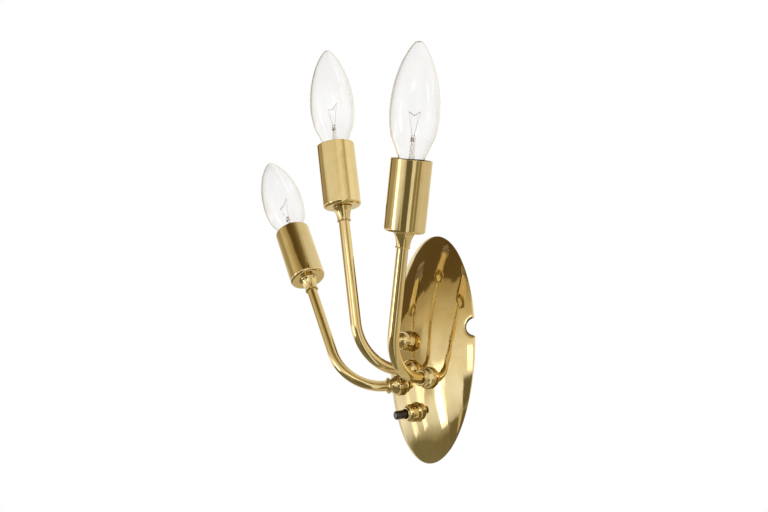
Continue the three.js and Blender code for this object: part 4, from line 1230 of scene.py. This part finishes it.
# Light cards and dark flags, each laid over the ones before it: azimuths, elevations, softness of
# the edges in degrees, colour.
CARDS = [
    ((-45, -21), (-7, 9), 4, (0.64, 0.55, 0.39)),
    ((-72, -33), (3, 16), 3, (0.42, 0.36, 0.23)),
    ((-1, 31), (-70, -22.5), 1.5, (0.20, 0.165, 0.095)),
    ((28, 62), (-20, -5), 2, (0.16, 0.14, 0.085)),
    ((31, 62), (-70, -20), 1.5, (0.16, 0.14, 0.085)),
    ((22, 30), (-36, -17), 2, (0.66, 0.59, 0.41)),
    ((66, 85), (-70, -8), 2, (0.92, 0.90, 0.82)),
    ((88, 121), (-70, -18), 2, (0.30, 0.25, 0.14)),
    ((101, 109), (-70, -18), 2, (0.50, 0.44, 0.29)),
    ((60, 92), (-2, 28), 3, (0.97, 0.93, 0.78)),
    ((99, 115), (8, 28), 2, (0.62, 0.55, 0.38)),
    ((120, 152), (12, 30), 4, (1.02, 0.98, 0.84)),
    ((35, 56), (-3, 6.5), 1.5, (2.1, 2.1, 2.1)),
    ((-17, -3), (-23, 3), 1.5, (1.9, 1.88, 1.85)),
    ((-46, -36), (-17, -1), 1.5, (1.7, 1.68, 1.65)),
    ((-63, -56), (-14, -1), 1.5, (1.5, 1.46, 1.4)),
]


def room():
    """A studio that the polished brass reflects: bright walls at eye level, a dark ceiling whose
    edge drops towards the left, a shaded floor, light cards and flags. Plain white behind the object."""
    world = bpy.data.worlds.new("studio")
    bpy.context.scene.world = world
    world.use_nodes = True
    world.node_tree.nodes.clear()
    t = Tree(world.node_tree)
    direction = t.node("ShaderNodeTexCoord").outputs["Generated"]
    x, y, z = t.node("ShaderNodeSeparateXYZ", {0: direction}).outputs

    def degrees(value):
        return t.added(value, 180 / math.pi, "MULTIPLY")

    azimuth = degrees(t.added(x, t.added(y, -1, "MULTIPLY"), "ARCTAN2"))
    elevation = degrees(t.added(z, 0, "ARCSINE"))

    def within(value, limits, soft):
        above = t.spread(value, limits[0] - soft, limits[0] + soft)
        below = t.spread(value, limits[1] - soft, limits[1] + soft, 1.0, 0.0)
        return t.added(above, below, "MULTIPLY")

    def by_height(height, stops):
        share = t.node("ShaderNodeMapRange", {"Value": height, "From Min": -90, "From Max": 90})
        return t.ramp(share.outputs["Result"], [((e + 90) / 180, colour) for e, colour in stops])

    to_left = t.node("ShaderNodeMapRange", {"Value": azimuth, "From Min": -10, "From Max": -82})
    narrowing = t.added(t.added(to_left.outputs["Result"], 2, "POWER"), 1.4, "MULTIPLY")
    lifted = t.spread(azimuth, 5, 28, 1.0, 0.91)
    height = t.added(elevation, t.added(narrowing, lifted), "MULTIPLY")
    over_edge = t.spread(height, CEILING_EDGE - 0.8, CEILING_EDGE + 0.8)
    right_end = t.spread(azimuth, 28, 112, 1.0, 0.0)
    seen = by_height(height, ROOM_IN_FRONT)
    seen = t.mixed(t.added(over_edge, right_end, "MULTIPLY"), seen, (*CEILING, 1))
    behind = t.added(t.spread(azimuth, -92, -86, 1.0, 0.0), t.spread(azimuth, 55, 130), "MAXIMUM")
    seen = t.mixed(behind, seen, by_height(elevation, ROOM_BEHIND))
    for azimuths, elevations, soft, colour in CARDS:
        card = t.added(within(azimuth, azimuths, soft), within(elevation, elevations, soft), "MULTIPLY")
        seen = t.mixed(card, seen, (*colour, 1))

    path = t.node("ShaderNodeLightPath").outputs
    not_mirrored = t.added(path["Glossy Depth"], 0.5, "LESS_THAN")
    through_glass = t.added(path["Is Transmission Ray"], not_mirrored, "MULTIPLY")
    seen = t.mixed(t.added(path["Is Camera Ray"], through_glass, "MAXIMUM"), seen, (1, 1, 1, 1))
    background = t.node("ShaderNodeBackground", {"Color": seen})
    output = t.node("ShaderNodeOutputWorld")
    t.tree.links.new(background.outputs[0], output.inputs["Surface"])


FLOOR_REACH, FLOOR_HEIGHT = 6.0, -0.62


def floor():
    """A plain pale floor well below the sconce. The brass doesn't mirror it, as it is far larger
    here than a table under a hung sconce would be."""
    f = Finish("pale_floor", Metallic=0.0, Roughness=0.85)
    clouds = f.noise(3, detail=3)
    pale = f.mixed(f.spread(clouds, 0.3, 0.7), (0.86, 0.86, 0.85, 1), (0.82, 0.82, 0.81, 1))
    f.link(pale, "Base Color")
    mesh = bpy.data.meshes.new("floor")
    square = [(x * FLOOR_REACH, y * FLOOR_REACH, FLOOR_HEIGHT)
              for x, y in [(-1, -1), (1, -1), (1, 1), (-1, 1)]]
    mesh.from_pydata(square, [], [(0, 1, 2, 3)])
    mesh.materials.append(f.material)
    made = add_object("floor", mesh)
    made.visible_glossy = False
    made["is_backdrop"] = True


def stage():
    camera()
    room()
    floor()
    key_light()
    bpy.context.scene.view_settings.view_transform = "Standard"


# ---- assembly


def build():
    arms = {"left": Arm(OUTER_ARM, -1), "centre": Arm(CENTRE_ARM, 1), "right": Arm(OUTER_ARM, 1)}
    back_plate(arms)
    notch_lip()
    wall_bracket()
    stud()
    cap_nut()
    earth_screw()
    terminal_block()
    push_button_switch()
    switch_lead()
    for way, side in enumerate(SIDES):
        arm = arms[side]
        root_fitting(side, arm)
        arm_tube(side, arm)
        arm_lead(side, arm, way)
        socket = axis_matrix(arm.point(arm.length), arm.up)
        cup_lampholder(side, socket)
        body = f"{side}_lamp"
        lamp_cap(side, socket, body)
        leaning = askew(side, socket)
        lamp_glass(side, leaning, body)
        lamp_mount(side, leaning, body)


def corners(box):
    return [list(corner) for corner in box]


stage()
build()
{"cad": corners(cad_box), "visual": corners(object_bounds())}
